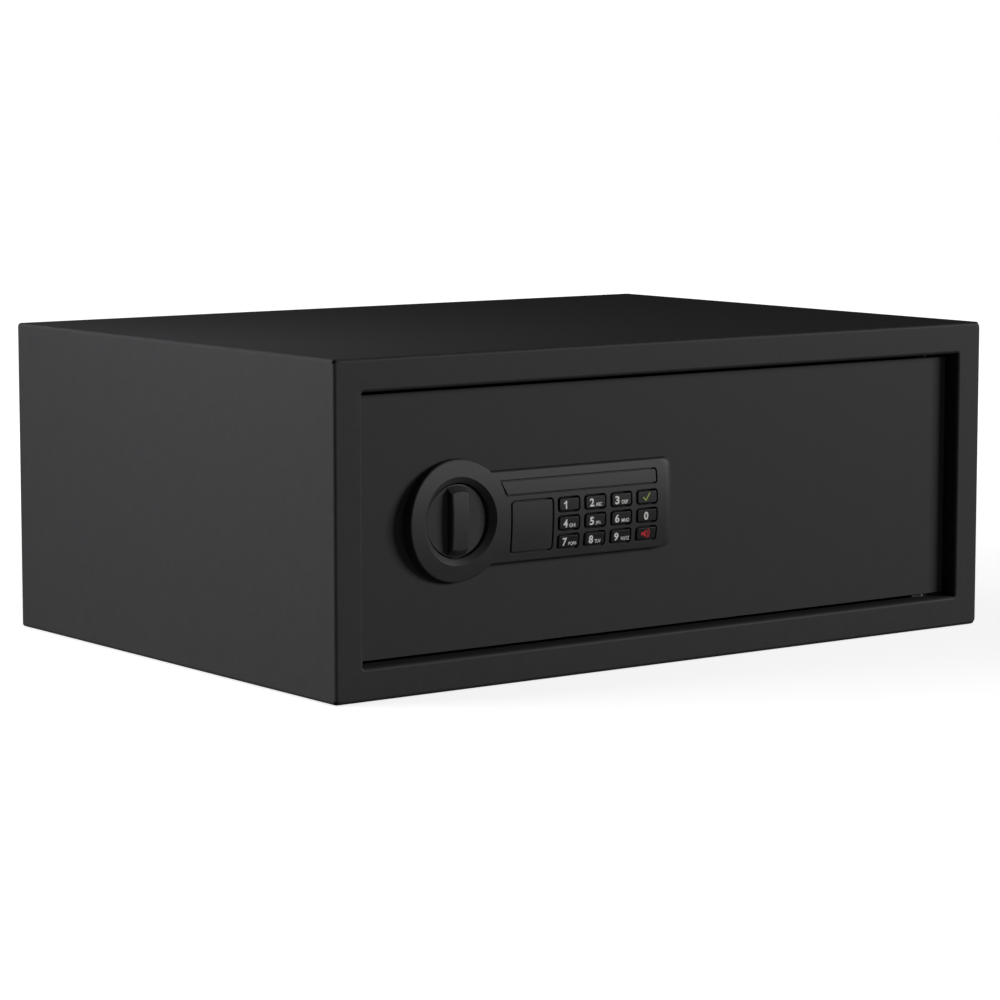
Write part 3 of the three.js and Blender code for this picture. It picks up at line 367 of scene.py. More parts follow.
def roundEdges(piece, radius, segments, test):
    startEdit(piece)
    pick(piece, "EDGE", test)
    bpy.ops.mesh.bevel(offset=radius * mm, segments=segments, affect="EDGES")
    endEdit()


def roundedBlock(name, low, high, corner, facets=8):  # its edges from front to rear are round
    piece = block(name, low, high)
    roundEdges(piece, corner, facets, lambda edge: runsAlong(edge, "y"))
    return piece


def roundCorners(radius, segments):  # of the outline being edited, which is left selected as one face
    bpy.ops.mesh.bevel(offset=radius * mm, segments=segments, affect="VERTICES")
    bpy.ops.mesh.select_mode(type="FACE")
    bpy.ops.mesh.select_all(action="SELECT")


ways = {"x": Vector((1, 0, 0)), "y": Vector((0, 1, 0)), "z": Vector((0, 0, 1))}
turns = {"x": (0, math.pi / 2, 0), "y": (math.pi / 2, 0, 0), "z": (0, 0, 0)}


def growOut(steps, centre, axis):
    # Pushes the selected face out along the axis; a step is a place along it and a scale on x, y and z
    way = ways[axis]
    lastAlong, lastScale = steps[0]
    for along, scale in steps[1:]:
        bpy.ops.mesh.extrude_region_move(TRANSFORM_OT_translate={"value": way * (along - lastAlong) * mm})
        factor = [now / before for now, before in zip(scale, lastScale)]
        if factor != [1, 1, 1]:
            bpy.ops.transform.resize(value=factor, center_override=Vector(centre) * mm + way * along * mm)
        lastAlong, lastScale = along, scale


def closeUp(piece):
    bpy.ops.mesh.select_all(action="SELECT")
    bpy.ops.mesh.remove_doubles(threshold=0.001 * mm)
    bpy.ops.mesh.normals_make_consistent(inside=False)
    endEdit()
    return piece


def turnedPiece(name, axis, centre, steps, sides=64):
    # A turned part: steps are (radius, place along the axis); centre has 0 along the axis
    way = ways[axis]
    radius, along = steps[0]
    bpy.ops.object.select_all(action="DESELECT")
    bpy.ops.mesh.primitive_circle_add(
        vertices=sides, radius=radius * mm, fill_type="NGON", location=(Vector(centre) + way * along) * mm,
        rotation=turns[axis],
    )
    piece = fixPlace(bpy.context.object, name)
    startEdit(piece, "SELECT")
    scales = [(place, [1 if letter == axis else size / radius for letter in "xyz"]) for size, place in steps]
    growOut(scales, centre, axis)
    return closeUp(piece)


def cutBy(piece, tool, operation="DIFFERENCE"):  # cuts with a tool or joins it on, and uses the tool up
    focus(piece)
    modifier = piece.modifiers.new("cut", "BOOLEAN")
    modifier.operation = operation
    modifier.object = tool
    bpy.ops.object.modifier_apply(modifier=modifier.name)
    bpy.data.objects.remove(tool)
    return piece


def drill(piece, axis, centre, radius, start, end, sides=48):
    return cutBy(piece, turnedPiece("drill", axis, centre, [(radius, start), (radius, end)], sides))


def soften(piece, width, segments=2, angle=40):  # breaks every edge sharper than the angle
    focus(piece)
    modifier = piece.modifiers.new("soften", "BEVEL")
    modifier.width = width * mm
    modifier.segments = segments
    modifier.angle_limit = math.radians(angle)
    bpy.ops.object.modifier_apply(modifier=modifier.name)


def smooth(piece, angle=35):
    focus(piece)
    bpy.ops.object.shade_smooth_by_angle(angle=math.radians(angle))
    modifier = piece.modifiers.new("flats", "WEIGHTED_NORMAL")  # keeps large flats flat beside rounded edges
    modifier.keep_sharp = True
    bpy.ops.object.modifier_apply(modifier=modifier.name)


def mergedCopy(node, name):  # a CAD solid as clean faces, ready to be worked on
    piece = bpy.data.objects.new(name, frame["nodes"][node].data.copy())
    bpy.context.scene.collection.objects.link(piece)
    startEdit(piece, "SELECT")
    bpy.ops.mesh.remove_doubles(threshold=0.002 * mm)
    bpy.ops.mesh.dissolve_limited(angle_limit=math.radians(0.5))
    endEdit()
    piece.data.name = name
    return piece


def addTo(piece, node, finish, angle=35):  # shades a piece that goes with a node but doesn't replace it
    smooth(piece, angle)
    piece.data.materials.clear()
    piece.data.materials.append(finish)
    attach(piece, frame["nodes"][node]["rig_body"])
    return piece


def stand(piece, node, finish, angle=35):  # shades a piece that stands for its CAD node
    addTo(piece, node, finish, angle)
    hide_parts(node)
    return piece


cabinet = {
    "sheet": 1.9,  # steel, thinner than the bend so that the inside of a bend keeps a little radius
    "bend": 2,  # radius of the outer bends
    "bendFacets": 6,
    "frame": 18,  # border round the doorway
    "lip": 13,  # depth of the doorway's turned-in edge
    "anchor": 5,  # radius of the holes for the wall and floor bolts
    "anchorSpread": 120,
    "anchorBack": 20,
}


def bendEdges():
    bpy.ops.mesh.bevel(offset=cabinet["bend"] * mm, segments=cabinet["bendFacets"], affect="EDGES")


def thicken(skin):  # gives the folded skin the sheet's thickness, inwards
    focus(skin)
    wall = skin.modifiers.new("wall", "SOLIDIFY")
    wall.thickness = cabinet["sheet"] * mm
    wall.offset = -1
    wall.use_even_offset = True
    bpy.ops.object.modifier_apply(modifier=wall.name)


def drillAnchors(piece, axis, centre, radius, start, end):  # a pair, left and right
    for x in (-cabinet["anchorSpread"], cabinet["anchorSpread"]):
        drill(piece, axis, (x, *centre), radius, start, end)


def makeCabinet():
    low, high = boxOf("body_shell")
    skin = block("cabinetSkin", low, high)
    startEdit(skin)
    pick(skin, "FACE", lambda face: face.normal.y > 0.9)
    bpy.ops.mesh.delete(type="FACE")  # the rear stays open for the back panel
    pick(skin, "FACE", lambda face: face.normal.y < -0.9)
    bpy.ops.mesh.inset(thickness=cabinet["frame"] * mm)
    bpy.ops.mesh.extrude_region_move(TRANSFORM_OT_translate={"value": (0, cabinet["lip"] * mm, 0)})
    bpy.ops.mesh.delete(type="FACE")
    front = low.y * mm
    side = high.x * mm

    def isBend(edge):
        place = middle(edge)
        if runsAlong(edge, "y"):
            return abs(abs(place.x) - side) < 0.1 * mm  # the four long corners, not the doorway's
        return abs(place.y - front) < 0.1 * mm

    pick(skin, "EDGE", isBend)
    bendEdges()

    def isCornerPatch(patch):  # where three bends meet the sheet is notched, which leaves a small opening
        place = patch.calc_center_median() / mm
        reach = cabinet["bend"] + 0.01
        atSide = abs(place.x) > high.x - reach
        return place.y < low.y + reach and atSide and not low.z + reach < place.z < high.z - reach

    pick(skin, "FACE", isCornerPatch)
    bpy.ops.mesh.delete(type="FACE")
    endEdit()
    thicken(skin)
    drillAnchors(skin, "z", (cabinet["anchorBack"], 0), cabinet["anchor"], -2, 4)
    return stand(skin, "body_shell", powderCoat, 30)


def makeBackPanel():
    low, high = boxOf("back_panel")
    panel = block("backPanelPan", low, high)
    startEdit(panel)
    pick(panel, "FACE", lambda face: face.normal.y < -0.9)
    bpy.ops.mesh.delete(type="FACE")  # a tray, open to the front
    pick(panel, "EDGE", lambda edge: not edge.is_boundary)
    bendEdges()
    endEdit()
    thicken(panel)
    drillAnchors(panel, "y", (0, (low.z + high.z) / 2), cabinet["anchor"], high.y - 4, high.y + 2)
    return stand(panel, "back_panel", powderCoat, 30)


liner = {"corner": 4, "edge": 0.6, "hole": 9}


def makeFloorMat():
    low, high = boxOf("floor_liner")
    mat = block("feltFloorMat", low, high)
    roundEdges(mat, liner["corner"], 6, lambda edge: runsAlong(edge, "z"))
    drillAnchors(mat, "z", (cabinet["anchorBack"], 0), liner["hole"], low.z - 2, high.z + 2)
    soften(mat, liner["edge"], 3, 60)
    stand(mat, "floor_liner", felt)


def broken(node, name, finish, width, segments=2):
    # The CAD solid with its edges broken, for bent, pressed and moulded parts
    piece = mergedCopy(node, name)
    soften(piece, width, segments)
    return stand(piece, node, finish)


def turnedFor(node, name, axis, finish, shape, sides=48):
    # A turned piece along the middle of its node's box, as radii at distances in from the box's two ends.
    # Its bore is a radius, a depth from the far end, or None for right through, and a number of sides
    low, high = boxOf(node)
    centre = axisOf(low, high, axis)
    along = "xyz".index(axis)
    start, end = low[along], high[along]
    steps = [(radius, start + inwards) for radius, inwards in shape["start"]]
    steps += [(radius, end - inwards) for radius, inwards in shape["end"]]
    piece = turnedPiece(name, axis, centre, steps, sides)
    if "bore" in shape:
        radius, depth, boreSides = shape["bore"]
        drill(piece, axis, centre, radius, end - depth if depth else start - 1, end + 1, boreSides)
    return stand(piece, node, finish)


hinge = {"bracketEdge": 0.4, "chamfer": 0.4, "chamferLength": 0.5}


def makeHinge(end):
    broken("hinge_bracket_" + end, end + "HingeBracket", innerCoat, hinge["bracketEdge"])
    low, high = boxOf("hinge_pin_" + end)
    radius = (high.x - low.x) / 2
    tip, shoulder = (radius - hinge["chamfer"], 0), (radius, hinge["chamferLength"])
    turnedFor("hinge_pin_" + end, end + "HingePin", "z", zinc, {"start": [tip, shoulder], "end": [shoulder, tip]}, 32)


makeCabinet()
makeBackPanel()
makeFloorMat()
for end in ("upper", "lower"):
    makeHinge(end)
print("cabinet done")

doorEdge = 0.5
broken("door_plate", "doorPanel", doorCoat, doorEdge, 3)
print("door done")

lockX, lockZ = -148, 90  # the knob's axis
face, foot = (corner.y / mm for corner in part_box("lock_housing"))  # the front's crest, and where it meets the door
housing = {
    "ring": 33.1,  # outer radius of the ring
    "cupMouth": 23.5,
    "cup": 20.3,
    "cupBevel": 2.7,
    "mouthChamfer": (0.2, 0.1),  # across and deep
    "bevelFoot": (0.3, 0.5),
    "edge": 1,  # radius of the front edge
    "edgeFacets": 5,
    "draft": 0.03,
    "barHalf": 25,
    "barEnd": -0.7,
    "barCorner": 4.5,
    "endRoll": 7.5,  # how far the right end rolls in before the face
    "endRollDepth": 6,
    "wall": 2,
    "front": 2.4,
    "bow": 140,  # the front's radius about a level axis
    "bowReach": 36,  # half the height that the bow covers
    "bowSlice": 3,
    "bowMiddle": -90,  # the lattice that bends it
    "bowWidth": 240,
    "bowLevels": 37,
    "bosses": ((-173.3, 80.8), (-25.7, 105.5)),  # for the two screws from behind the door
    "boss": 3.2,
    "screwHole": 1.6,
    "screwDepth": 3.3,
    "roundSides": 128,
}
lockAxis = (lockX, 0, lockZ)


def faceDrop(z):  # how far the bowed front stands behind its crest
    return housing["bow"] - math.sqrt(housing["bow"] ** 2 - (z - lockZ) ** 2)


def bowed(piece, rear, rearShare, front=face, slices=True):
    # Draws the piece back with the bowed front: all the way at the front, by a share of it at the rear
    reach = housing["bowReach"]
    if slices:
        startEdit(piece)
        for step in range(1, int(2 * reach / housing["bowSlice"])):
            bpy.ops.mesh.select_all(action="SELECT")
            level = lockZ - reach + step * housing["bowSlice"]
            bpy.ops.mesh.bisect(plane_co=(0, 0, level * mm), plane_no=(0, 0, 1))
        endEdit()
    bpy.ops.object.select_all(action="DESELECT")
    bpy.ops.object.add(type="LATTICE", location=Vector((housing["bowMiddle"], (front + rear) / 2, lockZ)) * mm)
    cage = bpy.context.object
    cage.scale = Vector((housing["bowWidth"], rear - front, 2 * reach)) * mm
    cage.data.points_u, cage.data.points_v, cage.data.points_w = 2, 2, housing["bowLevels"]
    for way in "uvw":
        setattr(cage.data, "interpolation_type_" + way, "KEY_LINEAR")
    for point in cage.data.points:
        share = 1 if point.co.y < 0 else rearShare
        point.co_deform.y += share * faceDrop(lockZ + point.co.z * 2 * reach) / (rear - front)
    bpy.context.view_layer.update()
    focus(piece)
    modifier = piece.modifiers.new("bow", "LATTICE")
    modifier.object = cage
    bpy.ops.object.modifier_apply(modifier=modifier.name)
    bpy.data.objects.remove(cage)
    return piece


def mouldInset(y):  # how far the side stands in from its foot at the depth y
    below = y - face
    lean = housing["draft"] * (foot - y)
    if below >= housing["edge"]:
        return lean
    return lean + housing["edge"] - math.sqrt(housing["edge"] ** 2 - (housing["edge"] - below) ** 2)


def quarter(radius, facets):  # a rounded front edge, rear first: how far in from the side, how far behind the front
    turns = [math.pi / 2 * facet / facets for facet in range(facets + 1)]
    return [(radius * (1 - math.cos(turn)), radius * (1 - math.sin(turn))) for turn in turns]


def uprightFace(name, left, right, bottom, top, y):
    bpy.ops.object.select_all(action="DESELECT")
    bpy.ops.mesh.primitive_plane_add(
        size=1, location=((left + right) / 2 * mm, y * mm, (bottom + top) / 2 * mm), rotation=(math.pi / 2, 0, 0),
    )
    bpy.context.object.scale = ((right - left) * mm, (top - bottom) * mm, 1)
    return fixPlace(bpy.context.object, name)


def makeBar():
    half = housing["barHalf"]
    length = housing["barEnd"] - lockX
    bar = uprightFace("bar", lockX, housing["barEnd"], lockZ - half, lockZ + half, foot)
    startEdit(bar)
    pick(bar, "VERT", lambda corner: corner.co.x > (lockX + length / 2) * mm)
    roundCorners(housing["barCorner"], 10)
    steps = [(foot, [1, 1, 1])]
    rollDepth = housing["endRollDepth"]
    depths = [depth for _, depth in quarter(rollDepth, 10) + quarter(housing["edge"], housing["edgeFacets"])]
    for y in sorted({face + depth for depth in depths}, reverse=True):
        turn = math.asin(min(1, 1 - (y - face) / rollDepth))
        reach = length - housing["endRoll"] * (1 - math.cos(turn))
        steps.append((y, [reach / length, 1, (half - mouldInset(y)) / half]))
    growOut(steps, lockAxis, "y")
    return closeUp(bar)


def makeRing():
    steps = [(housing["ring"], foot)]
    for _, depth in quarter(housing["edge"], housing["edgeFacets"]):
        steps.append((housing["ring"] - mouldInset(face + depth), face + depth))
    return turnedPiece("ring", "y", lockAxis, steps, housing["roundSides"])


def cupTool():
    mouth, wall, bevelEnd = housing["cupMouth"], housing["cup"], face + housing["cupBevel"]
    across, deep = housing["mouthChamfer"]
    footAcross, footDeep = housing["bevelFoot"]
    return turnedPiece("cup", "y", lockAxis, [
        (mouth + across, face - 1),
        (mouth + across, face),
        (mouth, face + deep),
        (wall + footAcross, bevelEnd),
        (wall, bevelEnd + footDeep),
        (wall, foot + 1),
    ], housing["roundSides"])


print("housing tools ready")


def rimmedTool(name, left, right, bottom, top, corner, rim, rear, slant=0):
    # Cuts a pocket whose rim is rounded; slant leans the left end, as the strip's end beside the ring
    tool = uprightFace(name, left, right, bottom, top, rear)
    startEdit(tool)
    if slant:
        pick(tool, "VERT", lambda point: point.co.x < (left + 0.1) * mm and point.co.z > (top - 0.1) * mm)
        bpy.ops.transform.translate(value=(-slant * mm, 0, 0))
        pick(tool, "VERT", lambda point: point.co.x > (right - 0.1) * mm)
    else:
        bpy.ops.mesh.select_all(action="SELECT")
    roundCorners(corner, 6)
    centre = ((left + right) / 2, 0, (bottom + top) / 2)
    width, height = right - left, top - bottom
    steps = [(rear, [1, 1, 1])]
    for part in (1, 0.6, 0.3, 0.1, 0):
        grow = rim * (1 - math.sqrt(1 - (1 - part) ** 2))
        steps.append((face + rim * part, [1 + 2 * grow / width, 1, 1 + 2 * grow / height]))
    steps.append((face - 1, steps[-1][1]))
    growOut(steps, centre, "y")
    return closeUp(tool)


inserts = {  # the status strip and the square cover, each in a pocket
    "gap": 1,
    "thick": 1.2,
    "pocketDepth": 2,
    "pocketRim": 0.15,
    "stripBottom": 12.15,
    "stripTop": 18.9,
    "stripRight": -14.8,
    "stripCorner": 1,
    "coverX": -100.6,
    "coverZ": 84.15,
    "coverSide": 27,
    "coverCorner": 1.5,
    "barrel": 9.6,  # hole for the override cylinder
    "clipHole": (10.6, 12.4, 3.3),  # two distances from the cover's middle, and half the width
    "clip": (10.9, 12.1, 3),
    "clipLength": 4.6,
    "clipChamfer": 0.35,
    "edge": 0.2,
}
keySize = {
    "firstX": -75.9,
    "pitchX": 18.1,
    "firstZ": 94.1,
    "pitchZ": 10.15,
    "width": 13.4,
    "height": 6.7,
    "corner": 1.2,
    "proud": 0.4,
    "crown": 0.5,  # radius of the top's edge
    "gap": 1,
    "rim": 0.15,
    "flangeLip": 1.35,
    "flangeFront": -160.8,
    "flange": 0.8,
    "flangeEdge": 0.15,
}
keyRows = [["1", "2", "3", "enter"], ["4", "5", "6", "0"], ["7", "8", "9", "sound"]]
keyPlaces = {
    key: (keySize["firstX"] + column * keySize["pitchX"], keySize["firstZ"] - row * keySize["pitchZ"])
    for row, keys in enumerate(keyRows)
    for column, key in enumerate(keys)
}


def stripLeft(rise):  # the strip ends beside the ring, on a straight slant between two heights
    return lockX + math.sqrt((housing["ring"] + 0.3) ** 2 - rise ** 2)


def stripTool(gap, rim, rear):
    left = stripLeft(inserts["stripBottom"]) - gap
    return rimmedTool(
        "stripPocket", left, inserts["stripRight"] + gap, lockZ + inserts["stripBottom"] - gap,
        lockZ + inserts["stripTop"] + gap, inserts["stripCorner"] + gap, rim, rear,
        stripLeft(inserts["stripBottom"]) - stripLeft(inserts["stripTop"]),
    )


def makeHousing():
    body = cutBy(makeBar(), makeRing(), "UNION")
    body.name = "lockHousingMoulding"
    cavityFace = face + housing["front"]
    cavityEnd = housing["barEnd"] - housing["wall"] - housing["endRoll"] / 2
    half = housing["barHalf"] - housing["wall"]
    corner = housing["barCorner"] - housing["wall"]
    room = roundedBlock("room", (lockX, cavityFace, lockZ - half), (cavityEnd, foot + 1, lockZ + half), corner)
    inside = housing["ring"] - housing["wall"]
    cutBy(room, turnedPiece("ringRoom", "y", lockAxis, [(inside, cavityFace), (inside, foot + 1)], 96), "UNION")
    drill(room, "y", lockAxis, housing["cup"] + housing["wall"], cavityFace - 1, foot + 2, 96)
    cutBy(body, room)
    for x, z in housing["bosses"]:
        boss = turnedPiece("boss", "y", (x, 0, z), [(housing["boss"], cavityFace - 1), (housing["boss"], foot)], 32)
        cutBy(body, boss, "UNION")
        drill(body, "y", (x, 0, z), housing["screwHole"], foot - housing["screwDepth"], foot + 1, 24)
    cutBy(body, cupTool())
    pocketRear = face + inserts["pocketDepth"]
    cutBy(body, stripTool(inserts["gap"], inserts["pocketRim"], pocketRear))
    side = inserts["coverSide"] / 2 + inserts["gap"]
    x, z = inserts["coverX"], inserts["coverZ"]
    cutBy(body, rimmedTool(
        "coverPocket", x - side, x + side, z - side, z + side, inserts["coverCorner"] + inserts["gap"],
        inserts["pocketRim"], pocketRear,
    ))
    drill(body, "y", (x, 0, z), inserts["barrel"], face, cavityFace + 1)
    near, far, halfWide = inserts["clipHole"]
    for left, right in ((x - far, x - near), (x + near, x + far)):
        cutBy(body, block("clipHole", (left, pocketRear - 1, z - halfWide), (right, cavityFace + 3, z + halfWide)))
    halfWidth = keySize["width"] / 2 + keySize["gap"]
    halfHeight = keySize["height"] / 2 + keySize["gap"]
    for x, z in keyPlaces.values():
        cutBy(body, rimmedTool(
            "keyHole", x - halfWidth, x + halfWidth, z - halfHeight, z + halfHeight,
            keySize["corner"] + keySize["gap"], keySize["rim"], cavityFace + 1,
        ))
    bowed(body, foot, 0)
    return stand(body, "lock_housing", housingAbs, 30)


makeHousing()
print("housing done")


def makeStrip():
    # A plate with a small round edge, seated in its pocket
    strip = stripTool(0, 0, face + inserts["thick"])
    strip.name = "statusStrip"
    cutBy(strip, block("trim", (lockX, face - 2, lockZ), (0, face, lockZ + 30)))
    soften(strip, inserts["edge"], 3, 60)
    bowed(strip, face + inserts["thick"], 1)
    return stand(strip, "status_strip", stripPlastic)


def makeCover():
    x, z, side = inserts["coverX"], inserts["coverZ"], inserts["coverSide"] / 2
    rear = face + inserts["thick"]
    low, high = (x - side, face, z - side), (x + side, rear, z + side)
    cover = roundedBlock("squareCover", low, high, inserts["coverCorner"])
    soften(cover, inserts["edge"], 3, 60)
    bowed(cover, rear, 1)
    near, far, halfWide = inserts["clip"]
    for left, right in ((x - far, x - near), (x + near, x + far)):  # spring clips with a tapered end
        end = face + inserts["clipLength"]
        clip = block("clip", (left, rear - 0.1, z - halfWide), (right, end, z + halfWide))
        tip = (end - inserts["clipChamfer"]) * mm
        roundEdges(clip, inserts["clipChamfer"], 3, lambda edge: runsAlong(edge, "z") and middle(edge).y > tip)
        cutBy(cover, clip, "UNION")
    return stand(cover, "key_cover", housingAbs)


def makeKeycap():
    # A crowned cap and the flange that stops it behind the housing's front
    width, height, crown = keySize["width"], keySize["height"], keySize["crown"]
    flangeFront, thick = keySize["flangeFront"], keySize["flange"]
    front = face - keySize["proud"]
    start = flangeFront + thick / 2
    cap = uprightFace("keycap", -width / 2, width / 2, -height / 2, height / 2, start)
    startEdit(cap, "SELECT")
    roundCorners(keySize["corner"], 6)
    steps = [(start, [1, 1, 1])]
    for inset, depth in quarter(crown, 6):
        steps.append((front + depth, [1 - 2 * inset / width, 1, 1 - 2 * inset / height]))
    growOut(steps, (0, 0, 0), "y")
    closeUp(cap)
    x, z = width / 2 + keySize["flangeLip"], height / 2 + keySize["flangeLip"]
    flange = block("flange", (-x, flangeFront, -z), (x, flangeFront + thick, z))
    soften(flange, keySize["flangeEdge"])
    return cutBy(cap, flange, "UNION")


def copyAt(piece, name, shift):
    twin = piece.copy()
    twin.data = piece.data.copy()
    bpy.context.scene.collection.objects.link(twin)
    twin.name = name
    focus(twin)
    twin.location = Vector(shift) * mm
    bpy.ops.object.transform_apply(location=True)
    return twin


legend = {
    "digitHeight": 4.5,
    "digitWidth": 3,
    "digitLeft": -4.1,  # from the key's middle
    "thirdColumn": -0.5,  # its digits stand a little further left
    "zeroLeft": -2.3,
    "lift": -0.2,
    "one": {"x": 2, "width": 0.9, "end": 0.45, "flag": (0.75, 1.45), "flagWidth": 0.8},  # an upright with a flag
    "letterHeight": 2.05,  # the letters start at the key's middle
    "fontSize": 5,
    "bold": 0.032,
    "letterBold": 0.02,
    "ink": 0.03,
}
letters = {
    "2": ("ABC", 4.3), "3": ("DEF", 4.3), "4": ("GHI", 4.1), "5": ("JKL", 3.9),
    "6": ("MNO", 5.3), "7": ("PQRS", 5.5), "8": ("TUV", 4.2), "9": ("WXYZ", 6),
}
printFace = face - keySize["proud"]


def seatInk(piece, left, bottom, width, height):  # sizes a print to fit and lays it on the keys' face
    points = [corner.co for corner in piece.data.vertices]
    low = Vector([min(point[i] for point in points) for i in range(3)])
    high = Vector([max(point[i] for point in points) for i in range(3)])
    tall = height * mm / (high.z - low.z)
    wide = width * mm / (high.x - low.x)
    focus(piece)
    piece.scale = (wide, 1, tall)
    piece.location = (
        left * mm - low.x * wide, printFace * mm - low.y - legend["ink"] * mm, bottom * mm - low.z * tall,
    )
    bpy.ops.object.transform_apply(location=True, rotation=True, scale=True)


def printOn(piece, key, ink):  # follows the bow with its keycap
    bowed(piece, keySize["flangeFront"], 0, face, False)
    return addTo(piece, "key_" + key, ink)


def makeText(name, words, bold):
    bpy.ops.object.select_all(action="DESELECT")
    bpy.ops.object.text_add(rotation=(math.pi / 2, 0, 0))
    piece = bpy.context.object
    piece.data.body = words
    piece.data.size = legend["fontSize"] * mm
    piece.data.offset = bold * legend["fontSize"] * mm
    piece.data.extrude = legend["ink"] * mm
    bpy.ops.object.convert(target="MESH")
    return fixPlace(bpy.context.object, name)


def printBar(name, start, end, width):  # a straight stroke on the keys' face
    way = Vector(end) - Vector(start)
    centre = (Vector(start) + Vector(end)) / 2
    bpy.ops.object.select_all(action="DESELECT")
    bpy.ops.mesh.primitive_cube_add(
        size=1, location=(centre.x * mm, printFace * mm, centre.y * mm), rotation=(0, -math.atan2(way.y, way.x), 0),
        scale=((way.length + width) * mm, 2 * legend["ink"] * mm, width * mm),
    )
    stroke = fixPlace(bpy.context.object, name)
    roundEdges(stroke, width * 0.45, 4, lambda edge: runsAlong(edge, "y"))
    return stroke


def printKey(key, x, z):
    bottom = z + legend["lift"] - legend["digitHeight"] / 2
    left = x + (legend["zeroLeft"] if key == "0" else legend["digitLeft"])
    if key in "369":
        left += legend["thirdColumn"]
    if key == "1":
        one = legend["one"]
        top = bottom + legend["digitHeight"]
        head = (left + one["x"], top - one["end"])
        tail = (left + one["flag"][0], top - one["flag"][1])
        digit = printBar("digit_1", (left + one["x"], bottom + one["end"]), head, one["width"])
        cutBy(digit, printBar("flag", tail, head, one["flagWidth"]), "UNION")
    else:
        digit = makeText("digit_" + key, key, legend["bold"])
        seatInk(digit, left, bottom, legend["digitWidth"], legend["digitHeight"])
    printOn(digit, key, whiteInk)
    if key in letters:
        words, width = letters[key]
        group = makeText("letters_" + key, words, legend["letterBold"])
        seatInk(group, x, bottom, width, legend["letterHeight"])
        printOn(group, key, whiteInk)


icons = {
    "tick": ((-2.7, -0.1), (-1.1, -1.75), (1.6, 2.1)),
    "tickStroke": 0.7,
    "speakerX": -0.6,  # the speaker's place on its key; what follows counts from there
    "magnet": (-3.1, -1.3, 0.9),  # left, right and half its height
    "horn": 1.6,
    "hornFlare": 2.6,
    "waves": (1.3, 2.4),
    "waveStroke": 0.55,
    "waveCentre": -0.5,
    "waveTurn": 55,
}


def inkBlock(name, left, right, low, high):
    return block(name, (left, printFace - legend["ink"], low), (right, printFace + legend["ink"], high))


def makeIcons():
    x, z = keyPlaces["enter"]
    start, turn, end = ((x + across, z + up) for across, up in icons["tick"])
    tick = printBar("tickIcon", start, turn, icons["tickStroke"])
    cutBy(tick, printBar("stroke", turn, end, icons["tickStroke"]), "UNION")
    printOn(tick, "enter", greenInk)
    x, z = keyPlaces["sound"]
    x += icons["speakerX"]
    left, right, half = icons["magnet"]
    speaker = inkBlock("speakerIcon", x + left, x + right, z - half, z + half)
    startEdit(speaker)
    pick(speaker, "FACE", lambda side: side.normal.x > 0.9)
    bpy.ops.mesh.extrude_region_move(TRANSFORM_OT_translate={"value": (icons["horn"] * mm, 0, 0)})
    mouth = Vector((x + right + icons["horn"], printFace, z)) * mm
    bpy.ops.transform.resize(value=(1, 1, icons["hornFlare"]), center_override=mouth)
    endEdit()
    printOn(speaker, "sound", redInk)
    spun = {"steps": 12, "center": Vector((x + icons["waveCentre"], 0, z)) * mm, "axis": (0, -1, 0)}
    for count, reach in enumerate(icons["waves"]):  # a sliver, spun both ways from the middle
        wave = inkBlock("soundWave" + str(count), x + reach, x + reach + icons["waveStroke"], z - 0.03, z + 0.03)
        startEdit(wave)
        pick(wave, "FACE", lambda side: side.normal.z > 0.9)
        bpy.ops.mesh.spin(angle=math.radians(icons["waveTurn"]), **spun)
        pick(wave, "FACE", lambda side: side.normal.z < -0.9 and abs(side.calc_center_median().z - z * mm) < 0.1 * mm)
        bpy.ops.mesh.spin(angle=math.radians(-icons["waveTurn"]), **spun)
        closeUp(wave)
        printOn(wave, "sound", redInk)


makeStrip()
makeCover()
keycap = makeKeycap()
for key, (x, z) in keyPlaces.items():
    cap = copyAt(keycap, "keycap_" + key, (x, 0, z))
    stand(bowed(cap, keySize["flangeFront"], 0), "key_" + key, keyAbs)
    if key not in ("enter", "sound"):
        printKey(key, x, z)
bpy.data.objects.remove(keycap)
makeIcons()
print("keys done")


knob = {
    "disc": 19.5,
    "discThick": 2.1,
    "discEdge": 0.3,
    "discEdgeMiddle": 0.12,
    "blankHalf": 21,  # half the length of the bar before its ends are cut round
    "faceHalf": 4.4,
    "sideEdge": 1.4,
    "footHalf": 5.9,
    "sideLean": 0.4,
    "fillet": 0.4,
    "endAtFace": 15.8,
    "endAtFoot": 19,
    "endEdge": 0.5,
    "endEdgeLean": 0.5,
    "socket": 4.3,
    "socketDepth": 3.7,
}


